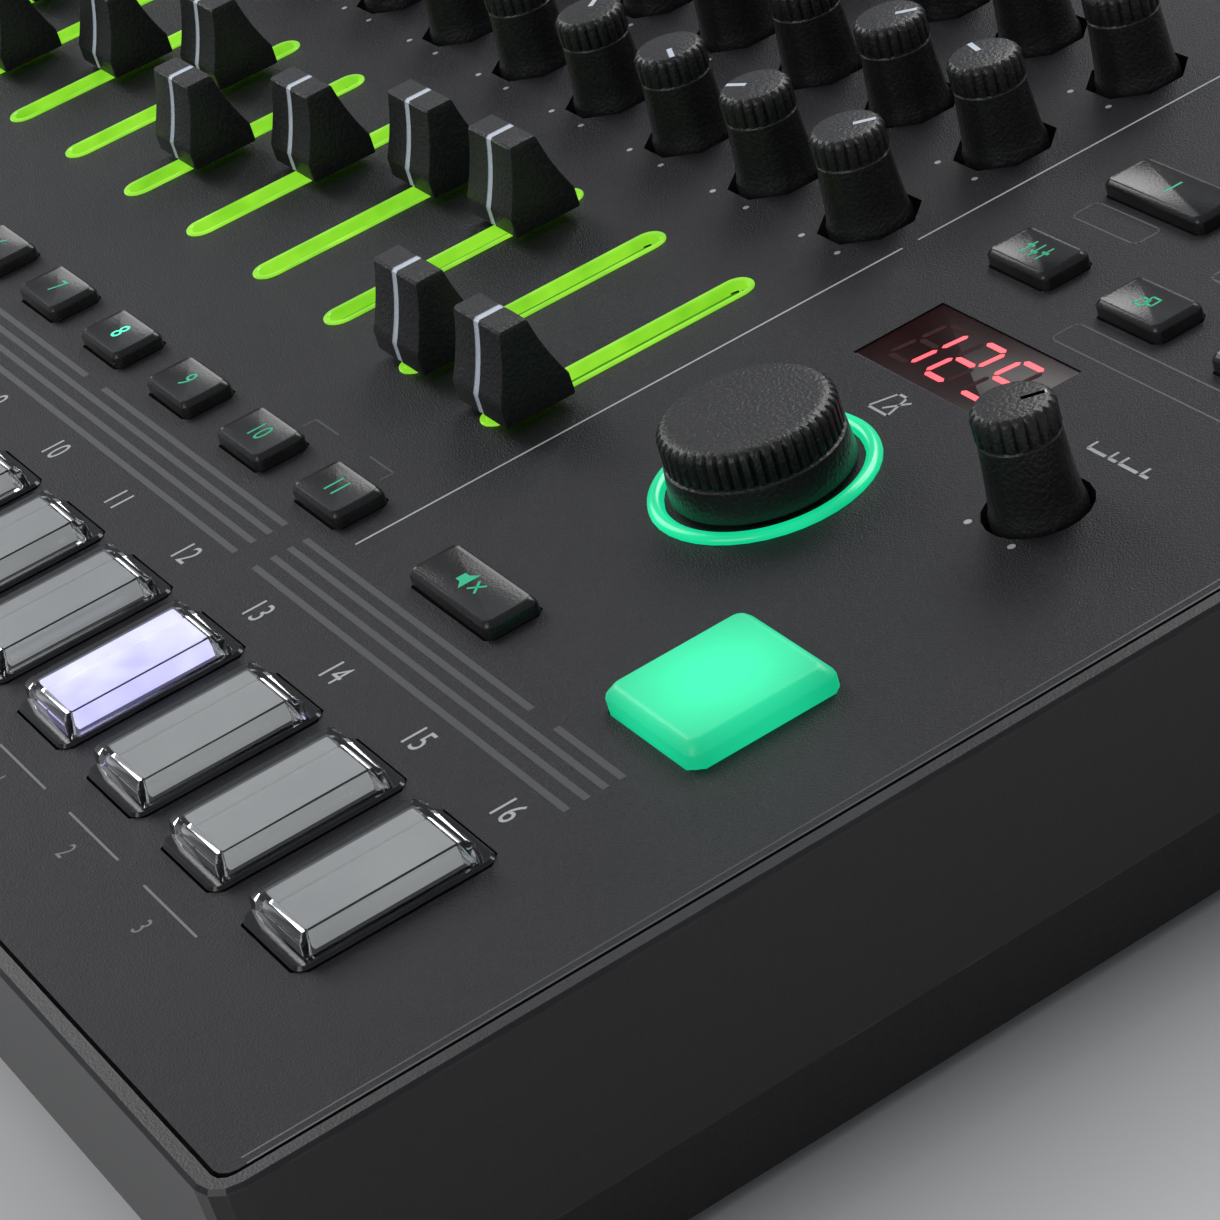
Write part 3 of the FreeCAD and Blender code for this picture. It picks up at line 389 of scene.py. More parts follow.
def new_object(name, data):
    made = bpy.data.objects.new(name, data)
    bpy.context.scene.collection.objects.link(made)
    return made


def name_piece(piece, body, replaces):
    """Attaches the piece to the body it rides on and hides the CAD nodes that it stands for."""
    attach(piece, body)
    if replaces:
        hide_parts(*replaces)


def flat_face(mesh_data, points, z, material=0):
    """One level face through the points, turned upwards."""
    face = mesh_data.faces.new([mesh_data.verts.new((p[0], p[1], z)) for p in points])
    face.material_index = material
    if face.normal.z < 0:
        face.normal_flip()


def finish_mesh(mesh_data, name, materials, body, replaces=(), recalc=True):
    """Turns a bmesh into a piece that rides on a body, with outward faces and crisp edges."""
    if recalc:
        bmesh.ops.recalc_face_normals(mesh_data, faces=mesh_data.faces)
    crisp_edges(mesh_data)
    mesh = bpy.data.meshes.new(name)
    mesh_data.to_mesh(mesh)
    mesh_data.free()
    piece = new_object(name, mesh)
    for key in materials:
        mesh.materials.append(MATERIALS[key])
    name_piece(piece, body, replaces)


def rounded_outline(x, y, width, depth, radius, steps=4):
    """Corner points of a rounded rectangle, anticlockwise."""
    points = []
    corners = ((1, 1, 0), (-1, 1, 90), (-1, -1, 180), (1, -1, 270))
    for sx, sy, start in corners:
        cx = x + sx * (width / 2 - radius)
        cy = y + sy * (depth / 2 - radius)
        for i in range(steps + 1):
            a = math.radians(start + 90 * i / steps)
            points.append((cx + radius * math.cos(a), cy + radius * math.sin(a)))
    return points


def circle_outline(x, y, radius, count, ripple=0.0, ribs=1):
    """Circle points; ripple cuts ribs with flat lands and narrow grooves."""
    points = []
    for i in range(count):
        a = 2 * math.pi * i / count
        groove = max(0.0, math.cos(a * ribs)) ** 2
        r = radius - ripple * groove
        points.append((x + r * math.cos(a), y + r * math.sin(a)))
    return points


def stack(mesh_data, rings, cap_low=True, cap_high=True, material=0, cap_material=None):
    """Skin through rings of equal length; each ring is (points, height)."""
    rows = [[mesh_data.verts.new((px, py, z)) for px, py in points] for points, z in rings]
    count = len(rows[0])
    for lower, upper in zip(rows, rows[1:]):
        for i in range(count):
            j = (i + 1) % count
            face = mesh_data.faces.new((lower[i], lower[j], upper[j], upper[i]))
            face.material_index = material
    top_material = material if cap_material is None else cap_material
    if cap_low:
        mesh_data.faces.new(list(reversed(rows[0]))).material_index = material
    if cap_high:
        mesh_data.faces.new(rows[-1]).material_index = top_material


def strokes(mesh_data, points, width, z, closed=False, material=0):
    """Flat printed line along points, one quad for each run with lapped corners."""
    ends = points[1:] + points[:1] if closed else points[1:]
    for a, b in zip(points, ends):
        run = Vector((b[0] - a[0], b[1] - a[1]))
        if run.length < 1e-9:
            continue
        along = run.normalized() * width / 2
        side = Vector((-along.y, along.x))
        lap = along if closed or len(points) > 2 else Vector((0, 0))
        p = Vector(a) - lap
        q = Vector(b) + lap
        flat_face(mesh_data, [p - side, q - side, q + side, p + side], z, material)


def disc(mesh_data, x, y, radius, z, count=16, material=0):
    flat_face(mesh_data, circle_outline(x, y, radius, count), z, material)


def lettering(mesh_data, text, x, y, size, z, angle=0.0, squeeze=1.0, material=0):
    """Plain numbers as flat faces, centred on x, y."""
    curve = bpy.data.curves.new("numbers", "FONT")
    curve.body = text
    curve.size = size
    curve.align_x = "CENTER"
    curve.align_y = "CENTER"
    curve.resolution_u = 3
    holder = new_object("numbers", curve)
    bpy.context.view_layer.update()
    mesh = bpy.data.meshes.new_from_object(holder.evaluated_get(bpy.context.evaluated_depsgraph_get()))
    turn = Matrix.Rotation(angle, 4, "Z")
    place = Matrix.Translation((x, y, z)) @ turn @ Matrix.Diagonal((squeeze, 1, 1, 1))
    mesh.transform(place)
    before = len(mesh_data.faces)
    mesh_data.from_mesh(mesh)
    mesh_data.faces.ensure_lookup_table()
    for face in mesh_data.faces[before:]:
        face.material_index = material
        if face.normal.z < 0:
            face.normal_flip()
    bpy.data.objects.remove(holder)
    bpy.data.curves.remove(curve)
    bpy.data.meshes.remove(mesh)


# sizes of the pieces on the panel
NECK_LOW = PANEL_TOP - 2.4 * MM
KEY_HEIGHT = 2.2 * MM
KEY_BEVEL = 0.8 * MM
KEY_GAP = 1.8 * MM
KEY_DISH = 0.12 * MM
MENU_KEY_WIDTH = 12.7 * MM
MENU_KEY_DEPTH = 7.5 * MM
WIDE_MENU_KEY = 20.0 * MM
PAD_HEIGHT = 3 * MM
CHANNEL_KNOB_HEIGHT = 13.5 * MM
CHANNEL_TURN_SPREAD = 2.2
SHUFFLE_ANGLE = math.radians(-25)
RING_INNER = 12.3 * MM
RING_OUTER = 14.3 * MM
DOT_SPREAD = 4.3 * MM
DOT_DROP = 8.0 * MM
SHUFFLE_DOT_DROP = 6.8 * MM

# step keys
FLANGE_WIDTH = 14.8 * MM
FLANGE_DEPTH = 25.0 * MM
CAP_WIDTH = 12.9 * MM
CAP_DEPTH = 21.5 * MM
CAP_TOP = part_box("step_key_01")[1].z
CAP_FLANGE = PANEL_TOP + 0.5 * MM
DIFFUSER_SPLIT = 0.30


def step_key_pieces(number):
    """Clear cap, black flange and the pale grey diffuser with its dark divider; an unlit key's diffuser has a
    faint painted glow.
    """
    x = STEP_X[number - 1]
    node = "step_key_%02d" % number
    top = CAP_TOP
    cap = bmesh.new()
    inner = 0.7 * MM
    foot = CAP_FLANGE + 0.02 * MM
    skin = [
        (rounded_outline(x, STEP_Y, CAP_WIDTH - 2.6 * MM, CAP_DEPTH - 2.8 * MM, 0.3 * MM), top - inner),
        (rounded_outline(x, STEP_Y, CAP_WIDTH - 1.2 * MM, CAP_DEPTH - 1.2 * MM, 0.3 * MM), foot),
        (rounded_outline(x, STEP_Y, CAP_WIDTH + 0.5 * MM, CAP_DEPTH + 0.5 * MM, 0.5 * MM), foot),
        (rounded_outline(x, STEP_Y, CAP_WIDTH + 0.15 * MM, CAP_DEPTH + 0.15 * MM, 0.45 * MM), top - 0.9 * MM),
        (rounded_outline(x, STEP_Y, CAP_WIDTH - 0.1 * MM, CAP_DEPTH - 0.2 * MM, 0.4 * MM), top - 0.55 * MM),
        (rounded_outline(x, STEP_Y, CAP_WIDTH - 1.3 * MM, CAP_DEPTH - 1.5 * MM, 0.3 * MM), top),
    ]
    stack(cap, skin)
    finish_mesh(cap, "step_cap_%02d" % number, ["acrylic"], node, [node])
    core = bmesh.new()
    edge = 0.7 * MM
    flange = [
        (rounded_outline(x, STEP_Y, FLANGE_WIDTH, FLANGE_DEPTH, 1.6 * MM), NECK_LOW),
        (rounded_outline(x, STEP_Y, FLANGE_WIDTH, FLANGE_DEPTH, 1.6 * MM), CAP_FLANGE - 0.35 * MM),
        (rounded_outline(x, STEP_Y, FLANGE_WIDTH - edge, FLANGE_DEPTH - edge, 1.3 * MM), CAP_FLANGE),
    ]
    stack(core, flange)
    width = CAP_WIDTH - 3.0 * MM
    depth = CAP_DEPTH - 3.2 * MM
    left = x - width / 2
    gap = 0.45 * MM
    split = left + width * DIFFUSER_SPLIT
    low = CAP_FLANGE + 0.01 * MM
    high = top - 0.85 * MM
    for x0, x1 in ((left, split - gap / 2), (split + gap / 2, left + width)):
        mid = (x0 + x1) / 2
        strip = [(rounded_outline(mid, STEP_Y, x1 - x0, depth, 0.15 * MM, 1), low),
                 (rounded_outline(mid, STEP_Y, x1 - x0, depth, 0.15 * MM, 1), high)]
        stack(core, strip, material=1)
    # unlit keys get the diffuser with a faint painted glow; only the lit step has real LED light
    shade = "lit_diffuser" if number == LIT_STEP else "diffuser"
    finish_mesh(core, "step_core_%02d" % number, ["flange", shade], node)


# push keys with a bevelled rim
def push_key(name, node, legend=None, lit=False, width=None, depth=None, centre=None, stands_in=True):
    """Key cap with a broad bevel and a shallow dish; the neck fills the opening."""
    bevel = KEY_BEVEL
    c = centre or node_centre(node)
    low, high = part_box(node)
    w = width or (high.x - low.x - KEY_GAP)
    d = depth or (high.y - low.y - KEY_GAP)
    top = PANEL_TOP + KEY_HEIGHT
    key = bmesh.new()
    rings = [
        (rounded_outline(c.x, c.y, w, d, 1.0 * MM), NECK_LOW),
        (rounded_outline(c.x, c.y, w, d, 1.0 * MM), top - bevel),
        (rounded_outline(c.x, c.y, w - 0.3 * MM, d - 0.3 * MM, 0.95 * MM), top - bevel * 0.6),
        (rounded_outline(c.x, c.y, w - 1.2 * bevel, d - 1.2 * bevel, 0.9 * MM), top - 0.1 * MM),
        (rounded_outline(c.x, c.y, w - 1.5 * bevel, d - 1.5 * bevel, 0.85 * MM), top),
        (rounded_outline(c.x, c.y, w - 2.2 * bevel, d - 2.2 * bevel, 0.6 * MM), top - KEY_DISH),
    ]
    stack(key, rings)
    z = top - KEY_DISH + PRINT_LIFT
    if legend:
        legend(key, c.x, c.y, z, 1)
    shade = "legend_lit" if lit else "legend"
    body = node if node in frame["bodies"] else "housing"
    finish_mesh(key, name, ["key", shade], body, [node] if stands_in else [])


def number_legend(text, size=4.2 * MM):
    def legend(mesh, x, y, z, material):
        lettering(mesh, text, x, y, size, z, squeeze=0.9, material=material)
    return legend


def copy_icon(mesh, x, y, z, material):
    """Two overlapping square outlines."""
    s = 1.5 * MM
    for dx, dy in ((-0.55 * MM, -0.35 * MM), (0.55 * MM, 0.35 * MM)):
        square = [(x + dx + a * s / 2, y + dy + b * s / 2) for a, b in ((-1, -1), (1, -1), (1, 1), (-1, 1))]
        strokes(mesh, square, 0.3 * MM, z, True, material)


def sliders_icon(mesh, x, y, z, material):
    """Three short slider marks."""
    for i, up in ((-1, 0.5), (0, -0.4), (1, 0.15)):
        px = x + i * 1.7 * MM
        strokes(mesh, [(px, y - 1.5 * MM), (px, y + 1.5 * MM)], 0.3 * MM, z, False, material)
        thumb = [(px - 0.6 * MM, y + up * MM), (px + 0.6 * MM, y + up * MM)]
        strokes(mesh, thumb, 0.5 * MM, z, False, material)


def silence_icon(mesh, x, y, z, material):
    """Small horn shape with a cross beside it."""
    horn = [(-2.6, -0.7), (-1.6, -0.7), (-0.4, -1.6), (-0.4, 1.6), (-1.6, 0.7), (-2.6, 0.7)]
    flat_face(mesh, [(x + a * MM, y + b * MM) for a, b in horn], z, material)
    for s in (-1, 1):
        ends = [(x + 0.6 * MM, y - s * 0.9 * MM), (x + 2.4 * MM, y + s * 0.9 * MM)]
        strokes(mesh, ends, 0.35 * MM, z, False, material)


MENU_SPOTS = [
    (171.2 * MM, 26.1 * MM, MENU_KEY_WIDTH, number_legend("3")),
    (128.0 * MM, 45.5 * MM, WIDE_MENU_KEY, number_legend("1")),
    (154.0 * MM, 45.5 * MM, WIDE_MENU_KEY, number_legend("2")),
    (-182.0 * MM, -70.0 * MM, MENU_KEY_WIDTH, number_legend("4")),
    (-164.0 * MM, -70.0 * MM, MENU_KEY_WIDTH, number_legend("5")),
    (-178.0 * MM, 8.0 * MM, MENU_KEY_WIDTH, number_legend("6")),
]


# fader caps
def fader_cap_piece(number):
    """Curved cap in three slices: black flank, pale index line, black flank."""
    node = "fader_cap_%02d" % number
    low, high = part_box(node)
    x = (low.x + high.x) / 2
    y = (low.y + high.y) / 2
    base = PANEL_TOP + 1.2 * MM
    top = high.z
    half_base = (high.y - low.y) / 2
    half_top = 2.15 * MM
    foot = base + 3.0 * MM
    steps = 10
    edge = 0.35 * MM
    side = [(half_base - 0.25 * MM, base), (half_base, base + 0.3 * MM), (half_base, foot - 0.3 * MM)]
    sag = 0.35 * MM
    for i in range(steps + 1):
        t = i / steps
        z = foot + (top - edge - foot) * t
        straight = half_base + (half_top - half_base) * t
        side.append((straight - sag * 4 * t * (1 - t), z))
    side.append((half_top - edge, top))
    profile = [(y - a, z) for a, z in side] + [(y + a, z) for a, z in reversed(side)]
    half_low = (high.x - low.x) / 2
    half_high = 6.1 * MM
    line = 0.65 * MM
    cap = bmesh.new()

    def half_width(z):
        return half_low + (half_high - half_low) * (z - base) / (top - base)

    def ring(place):
        row = []
        for py, z in profile:
            px = place * half_width(z) if abs(place) == 1 else place
            row.append(cap.verts.new((x + px, py, z)))
        return row

    def inner_ring(offset, drop):
        row = []
        for py, z in profile:
            shift = drop if py < y else -drop
            row.append(cap.verts.new((x + offset, py + shift, min(z, top - drop))))
        return row

    drop = 0.08 * MM
    places = [ring(-1), ring(-line), inner_ring(-line, drop), inner_ring(line, drop), ring(line), ring(1)]
    marks = [0, 1, 1, 1, 0]
    count = len(profile)
    for (a, b), mark in zip(zip(places, places[1:]), marks):
        for i in range(count):
            j = (i + 1) % count
            face = cap.faces.new((a[i], b[i], b[j], a[j]))
            face.material_index = mark
    cap.faces.new(places[0])
    cap.faces.new(list(reversed(places[-1])))
    bmesh.ops.recalc_face_normals(cap, faces=cap.faces)
    outer = [e for e in cap.edges if len(e.link_faces) == 2 and e.calc_face_angle(0) > 1.2
             and abs(abs(e.verts[0].co.x - x) - abs(e.verts[1].co.x - x)) < 0.3 * MM
             and abs(e.verts[0].co.x - x) > 3 * MM]
    bmesh.ops.bevel(cap, geom=outer, offset=edge, segments=2, affect="EDGES", profile=0.6)
    lever = [(rounded_outline(x, y, 1.2 * MM, 4.0 * MM, 0.1 * MM, 1), low.z),
             (rounded_outline(x, y, 1.2 * MM, 4.0 * MM, 0.1 * MM, 1), base + 2 * MM)]
    stack(cap, lever)
    finish_mesh(cap, "fader_%02d" % number, ["cap", "line"], node, [node])


# knobs
def wide_knob(name, node, radius, height, ribs):
    """Wide knob: plain skirt, ribbed band and a flat top with a soft edge."""
    c = node_centre(node)
    z = PANEL_TOP
    band = z + height * 0.52
    count = ribs * 8
    deep = 0.45 * MM
    knob = bmesh.new()
    rings = [
        (circle_outline(c.x, c.y, radius + 0.3 * MM, count), z + 0.6 * MM),
        (circle_outline(c.x, c.y, radius + 0.5 * MM, count), z + 0.9 * MM),
        (circle_outline(c.x, c.y, radius + 0.5 * MM, count), z + 1.3 * MM),
        (circle_outline(c.x, c.y, radius + 0.15 * MM, count), band - 0.2 * MM),
        (circle_outline(c.x, c.y, radius - 0.1 * MM, count), band),
        (circle_outline(c.x, c.y, radius - 0.1 * MM, count, deep, ribs), band + 0.1 * MM),
        (circle_outline(c.x, c.y, radius, count, deep, ribs), band + 0.5 * MM),
        (circle_outline(c.x, c.y, radius - 0.05 * MM, count, deep, ribs), z + height - 1.1 * MM),
        (circle_outline(c.x, c.y, radius - 0.3 * MM, count, deep * 0.8, ribs), z + height - 0.6 * MM),
        (circle_outline(c.x, c.y, radius - 0.75 * MM, count, deep * 0.2, ribs), z + height - 0.2 * MM),
        (circle_outline(c.x, c.y, radius - 1.3 * MM, count), z + height - 0.03 * MM),
        (circle_outline(c.x, c.y, radius - 2.2 * MM, count), z + height),
    ]
    stack(knob, rings)
    shaft = [(circle_outline(c.x, c.y, 3 * MM, 24), PANEL_TOP - 3.5 * MM),
             (circle_outline(c.x, c.y, 3 * MM, 24), z + 1.0 * MM)]
    stack(knob, shaft)
    finish_mesh(knob, name, ["knob"], node, [node])


def slim_knob_mesh(x, y, height, ribs=20, top_radius=5.0 * MM):
    """Slim knob: flared foot, drawn-in body and a ribbed crown."""
    z = PANEL_TOP
    count = ribs * 6
    deep = 0.4 * MM
    knob = bmesh.new()
    crown = z + height - 4.0 * MM
    rings = [
        (circle_outline(x, y, 5.8 * MM, count), z - 1.2 * MM),
        (circle_outline(x, y, 5.75 * MM, count), z + 0.3 * MM),
        (circle_outline(x, y, 5.5 * MM, count), z + 1.0 * MM),
        (circle_outline(x, y, 5.3 * MM, count), z + 3.0 * MM),
        (circle_outline(x, y, 5.05 * MM, count), z + 6.5 * MM),
        (circle_outline(x, y, 4.9 * MM, count), crown - 0.3 * MM),
        (circle_outline(x, y, 4.7 * MM, count), crown - 0.05 * MM),
        (circle_outline(x, y, top_radius, count, deep, ribs), crown + 0.1 * MM),
        (circle_outline(x, y, top_radius, count, deep, ribs), z + height - 0.9 * MM),
        (circle_outline(x, y, top_radius - 0.25 * MM, count, deep * 0.8, ribs), z + height - 0.45 * MM),
        (circle_outline(x, y, top_radius - 0.7 * MM, count), z + height - 0.08 * MM),
        (circle_outline(x, y, top_radius - 1.1 * MM, count), z + height),
    ]
    stack(knob, rings)
    return knob


def pointer_mesh(x, y, height, angle, radius=4.4 * MM):
    """Pale pointer: a short flat bar on top of the crown."""
    z = PANEL_TOP + height + PRINT_LIFT
    pointer = bmesh.new()
    direction = Vector((-math.sin(angle), math.cos(angle)))
    start = Vector((x, y)) + direction * radius * 0.25
    end = Vector((x, y)) + direction * (radius - 0.3 * MM)
    strokes(pointer, [tuple(start), tuple(end)], 0.75 * MM, z)
    return pointer


# geometry nodes for repeated pieces
def repeat_tree():
    """Sets one piece on every point, turned about Z by a seeded random angle."""
    tree = bpy.data.node_groups.new("Set On Points", "GeometryNodeTree")
    face = tree.interface
    face.new_socket("Points", in_out="INPUT", socket_type="NodeSocketGeometry")
    face.new_socket("Piece", in_out="INPUT", socket_type="NodeSocketObject")
    face.new_socket("Turn Spread", in_out="INPUT", socket_type="NodeSocketFloat")
    face.new_socket("Seed", in_out="INPUT", socket_type="NodeSocketInt")
    face.new_socket("Finish", in_out="INPUT", socket_type="NodeSocketMaterial")
    face.new_socket("Geometry", in_out="OUTPUT", socket_type="NodeSocketGeometry")
    group_in = tree.nodes.new("NodeGroupInput")
    group_out = tree.nodes.new("NodeGroupOutput")
    info = tree.nodes.new("GeometryNodeObjectInfo")
    spin = tree.nodes.new("FunctionNodeRandomValue")
    spin.data_type = "FLOAT"
    negative = tree.nodes.new("ShaderNodeMath")
    negative.operation = "MULTIPLY"
    negative.inputs[1].default_value = -1.0
    turn = tree.nodes.new("ShaderNodeCombineXYZ")
    place = tree.nodes.new("GeometryNodeInstanceOnPoints")
    real = tree.nodes.new("GeometryNodeRealizeInstances")
    paint = tree.nodes.new("GeometryNodeSetMaterial")
    link = tree.links.new
    link(group_in.outputs["Piece"], info.inputs["Object"])
    link(group_in.outputs["Turn Spread"], negative.inputs[0])
    link(negative.outputs[0], spin.inputs[2])
    link(group_in.outputs["Turn Spread"], spin.inputs[3])
    link(group_in.outputs["Seed"], spin.inputs["Seed"])
    link(spin.outputs[1], turn.inputs["Z"])
    link(group_in.outputs["Points"], place.inputs["Points"])
    link(info.outputs["Geometry"], place.inputs["Instance"])
    link(turn.outputs["Vector"], place.inputs["Rotation"])
    link(place.outputs["Instances"], real.inputs["Geometry"])
    link(real.outputs["Geometry"], paint.inputs["Geometry"])
    link(group_in.outputs["Finish"], paint.inputs["Material"])
    link(paint.outputs["Geometry"], group_out.inputs["Geometry"])
    return tree


REPEAT = repeat_tree()


def repeated(name, spots, piece_mesh, material, spread=0.0, seed=1, replaces=()):
    """Piece with piece_mesh on each (x, y) spot, made through the repeat tree and kept as a mesh."""
    source_mesh = bpy.data.meshes.new(name + "_one")
    bmesh.ops.recalc_face_normals(piece_mesh, faces=piece_mesh.faces)
    crisp_edges(piece_mesh)
    piece_mesh.to_mesh(source_mesh)
    piece_mesh.free()
    source = new_object(name + "_one", source_mesh)
    points = bpy.data.meshes.new(name + "_points")
    points.from_pydata([(x, y, 0.0) for x, y in spots], [], [])
    carrier = new_object(name + "_points", points)
    modifier = carrier.modifiers.new("repeat", "NODES")
    modifier.node_group = REPEAT
    values = {"Piece": source, "Turn Spread": spread, "Seed": seed, "Finish": MATERIALS[material]}
    for item in REPEAT.interface.items_tree:
        if item.in_out == "INPUT" and item.name in values:
            modifier[item.identifier] = values[item.name]
    bpy.context.view_layer.update()
    mesh = bpy.data.meshes.new_from_object(carrier.evaluated_get(bpy.context.evaluated_depsgraph_get()))
    carrier.modifiers.clear()
    bpy.data.objects.remove(carrier)
    bpy.data.objects.remove(source)
    name_piece(new_object(name, mesh), "housing", replaces)


def guide_mesh():
    """One lit slot guide about the origin: raised rim and round-ended walls."""
    guide = bmesh.new()
    top = PANEL_TOP + 0.3 * MM
    outer = rounded_outline(0, 0, GUIDE_WIDTH, GUIDE_LENGTH, GUIDE_WIDTH / 2 - 1e-6, 8)
    width = GUIDE_WIDTH - 2 * GUIDE_WALL
    length = GUIDE_LENGTH - 2 * GUIDE_WALL
    inner = rounded_outline(0, 0, width, length, 1.65 * MM, 8)
    rings = [
        (outer, PANEL_TOP - 2.0 * MM),
        (outer, top - 0.12 * MM),
        (rounded_outline(0, 0, GUIDE_WIDTH - 0.3 * MM, GUIDE_LENGTH - 0.3 * MM, 2.3 * MM, 8), top),
        (rounded_outline(0, 0, width + 0.3 * MM, length + 0.3 * MM, 1.8 * MM, 8), top),
        (inner, top - 0.15 * MM),
        (inner, PANEL_TOP - 1.2 * MM),
    ]
    stack(guide, rings, cap_low=False, cap_high=False)
    return guide


def trough_mesh():
    """Floor of a slot guide in two halves with the lever's slit between them."""
    floor = bmesh.new()
    z = PANEL_TOP - 1.4 * MM
    half = GUIDE_WIDTH / 2 - GUIDE_WALL
    slit = 1.0 * MM
    middle_end = 19.6 * MM
    side_end = 18.3 * MM
    for side in (-1, 1):
        corners = [(side * slit, -middle_end), (side * half, -side_end), (side * half, side_end),
                   (side * slit, middle_end)]
        flat_face(floor, corners, z)
    return floor


def tempo_ring_piece():
    """Round light ring that stands slightly proud of the panel."""
    ring = bmesh.new()
    middle = (RING_INNER + RING_OUTER) / 2
    half = (RING_OUTER - RING_INNER) / 2
    low = PANEL_TOP - 0.8 * MM
    rings = [(circle_outline(TEMPO.x, TEMPO.y, RING_INNER, 96), low)]
    steps = 8
    for i in range(steps + 1):
        a = math.pi * (1 - i / steps)
        r = middle + half * math.cos(a)
        height = PANEL_TOP + 0.15 * MM + 0.75 * MM * math.sin(a)
        rings.append((circle_outline(TEMPO.x, TEMPO.y, r, 96), height))
    rings.append((circle_outline(TEMPO.x, TEMPO.y, RING_OUTER, 96), low))
    stack(ring, rings, cap_low=False, cap_high=False)
    finish_mesh(ring, "tempo_ring", ["ring"], "housing")


# number display
DIGIT_HEIGHT = 8.5 * MM
DIGIT_WIDTH = 4.5 * MM
DIGIT_PITCH = 7.8 * MM
DIGIT_SLANT = 0.14
SEGMENTS = {
    "a": ((0, 1), (1, 1)), "b": ((1, 1), (1, 0.5)), "c": ((1, 0.5), (1, 0)), "d": ((0, 0), (1, 0)),
    "e": ((0, 0.5), (0, 0)), "f": ((0, 1), (0, 0.5)), "g": ((0, 0.5), (1, 0.5)),
}
DIGITS = {"1": "bc", "2": "abged", "5": "afgcd"}


def segment(mesh_data, a, b, width, z, material):
    """One bar of a digit, pointed at both ends."""
    start = Vector(a)
    end = Vector(b)
    along = (end - start).normalized()
    side = Vector((-along.y, along.x)) * width / 2
    start += along * width * 0.35
    end -= along * width * 0.35
    tip = along * width / 2
    points = [start, start + tip - side, end - tip - side, end, end - tip + side, start + tip + side]
    flat_face(mesh_data, points, z, material)


def display_piece(text="125"):
    """Tinted window with three seven-bar digits; the last one has its point lit."""
    low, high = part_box("display")
    window = bmesh.new()
    w = high.x - low.x
    d = high.y - low.y
    top = high.z
    rings = [
        (rounded_outline(WINDOW.x, WINDOW.y, w, d, 0.3 * MM), top - 1.5 * MM),
        (rounded_outline(WINDOW.x, WINDOW.y, w, d, 0.3 * MM), top - 0.15 * MM),
        (rounded_outline(WINDOW.x, WINDOW.y, w - 0.3 * MM, d - 0.3 * MM, 0.3 * MM), top - 0.05 * MM),
    ]
    stack(window, rings)
    z = top - 0.05 * MM + PRINT_LIFT
    width = 0.85 * MM
    left = WINDOW.x - DIGIT_PITCH - DIGIT_WIDTH / 2
    for index, sign in enumerate(text):
        x0 = left + index * DIGIT_PITCH
        y0 = WINDOW.y - DIGIT_HEIGHT / 2
        for bar, (a, b) in SEGMENTS.items():
            ends = []
            for px, py in (a, b):
                y = y0 + py * DIGIT_HEIGHT
                ends.append((x0 + px * DIGIT_WIDTH + (y - WINDOW.y) * DIGIT_SLANT, y))
            segment(window, ends[0], ends[1], width, z, 1 if bar in DIGITS[sign] else 2)
    dot_x = left + 2 * DIGIT_PITCH + DIGIT_WIDTH + 1.3 * MM
    disc(window, dot_x, WINDOW.y - DIGIT_HEIGHT / 2, 0.55 * MM, z, material=1)
    finish_mesh(window, "number_window", ["window", "digit", "digit_off"], "housing",
                ["display"], recalc=False)


def metronome(mesh_data, x, y, z):
    """Plain beat sign: a tapered outline with a leaning rod."""
    body = [(x - 2.1 * MM, y - 1.9 * MM), (x + 2.1 * MM, y - 1.9 * MM), (x + 0.9 * MM, y + 1.9 * MM),
            (x - 0.9 * MM, y + 1.9 * MM)]
    strokes(mesh_data, body, 0.4 * MM, z, True)
    strokes(mesh_data, [(x, y - 1.2 * MM), (x + 2.4 * MM, y + 1.5 * MM)], 0.4 * MM, z)


def swing(mesh_data, x, y, z):
    """Plain uneven-beat sign: a long and a short bar on one line, twice."""
    for start, length in ((-5.2, 3.4), (-1.2, 1.4), (0.8, 3.4), (4.8, 1.4)):
        strokes(mesh_data, [(x + start * MM, y), (x + (start + length) * MM, y)], 0.5 * MM, z)
    for start in (-5.2, -1.2, 0.8, 4.8):
        strokes(mesh_data, [(x + start * MM, y), (x + start * MM, y + 1.5 * MM)], 0.4 * MM, z)


# panel prints
def panel_print_piece():
    """Pale grey print on the panel: step numbers, divider lines, dots and plain signs."""
    z = PANEL_TOP + PRINT_LIFT
    ink = bmesh.new()
    for number, x in enumerate(STEP_X, 1):
        lettering(ink, str(number), x, STEP_Y + 17.3 * MM, 5.0 * MM, z, squeeze=0.85)
    line = 0.35 * MM
    divider = 105.5 * MM
    strokes(ink, [(divider, -63.4 * MM), (divider, 18.6 * MM)], line, z)
    strokes(ink, [(divider, 21.1 * MM), (divider, 84.0 * MM)], line, z)
    for row in KNOB_ROWS:
        for x in CHANNEL_X:
            for side in (-1, 1):
                disc(ink, x + side * DOT_SPREAD, row - DOT_DROP, 0.45 * MM, z)
    for side in (-1, 1):
        disc(ink, SHUFFLE.x + side * DOT_SPREAD, SHUFFLE.y - SHUFFLE_DOT_DROP, 0.5 * MM, z)
    for x, y in LEFT_KNOBS:
        for side in (-1, 1):
            disc(ink, x + side * DOT_SPREAD, y - DOT_DROP, 0.45 * MM, z)
    metronome(ink, TEMPO.x - 0.7 * MM, TEMPO.y + 18.8 * MM, z)
    swing(ink, SHUFFLE.x - 0.1 * MM, SHUFFLE.y + 11.0 * MM, z)
    finish_mesh(ink, "panel_print", ["print"], "housing", recalc=False)


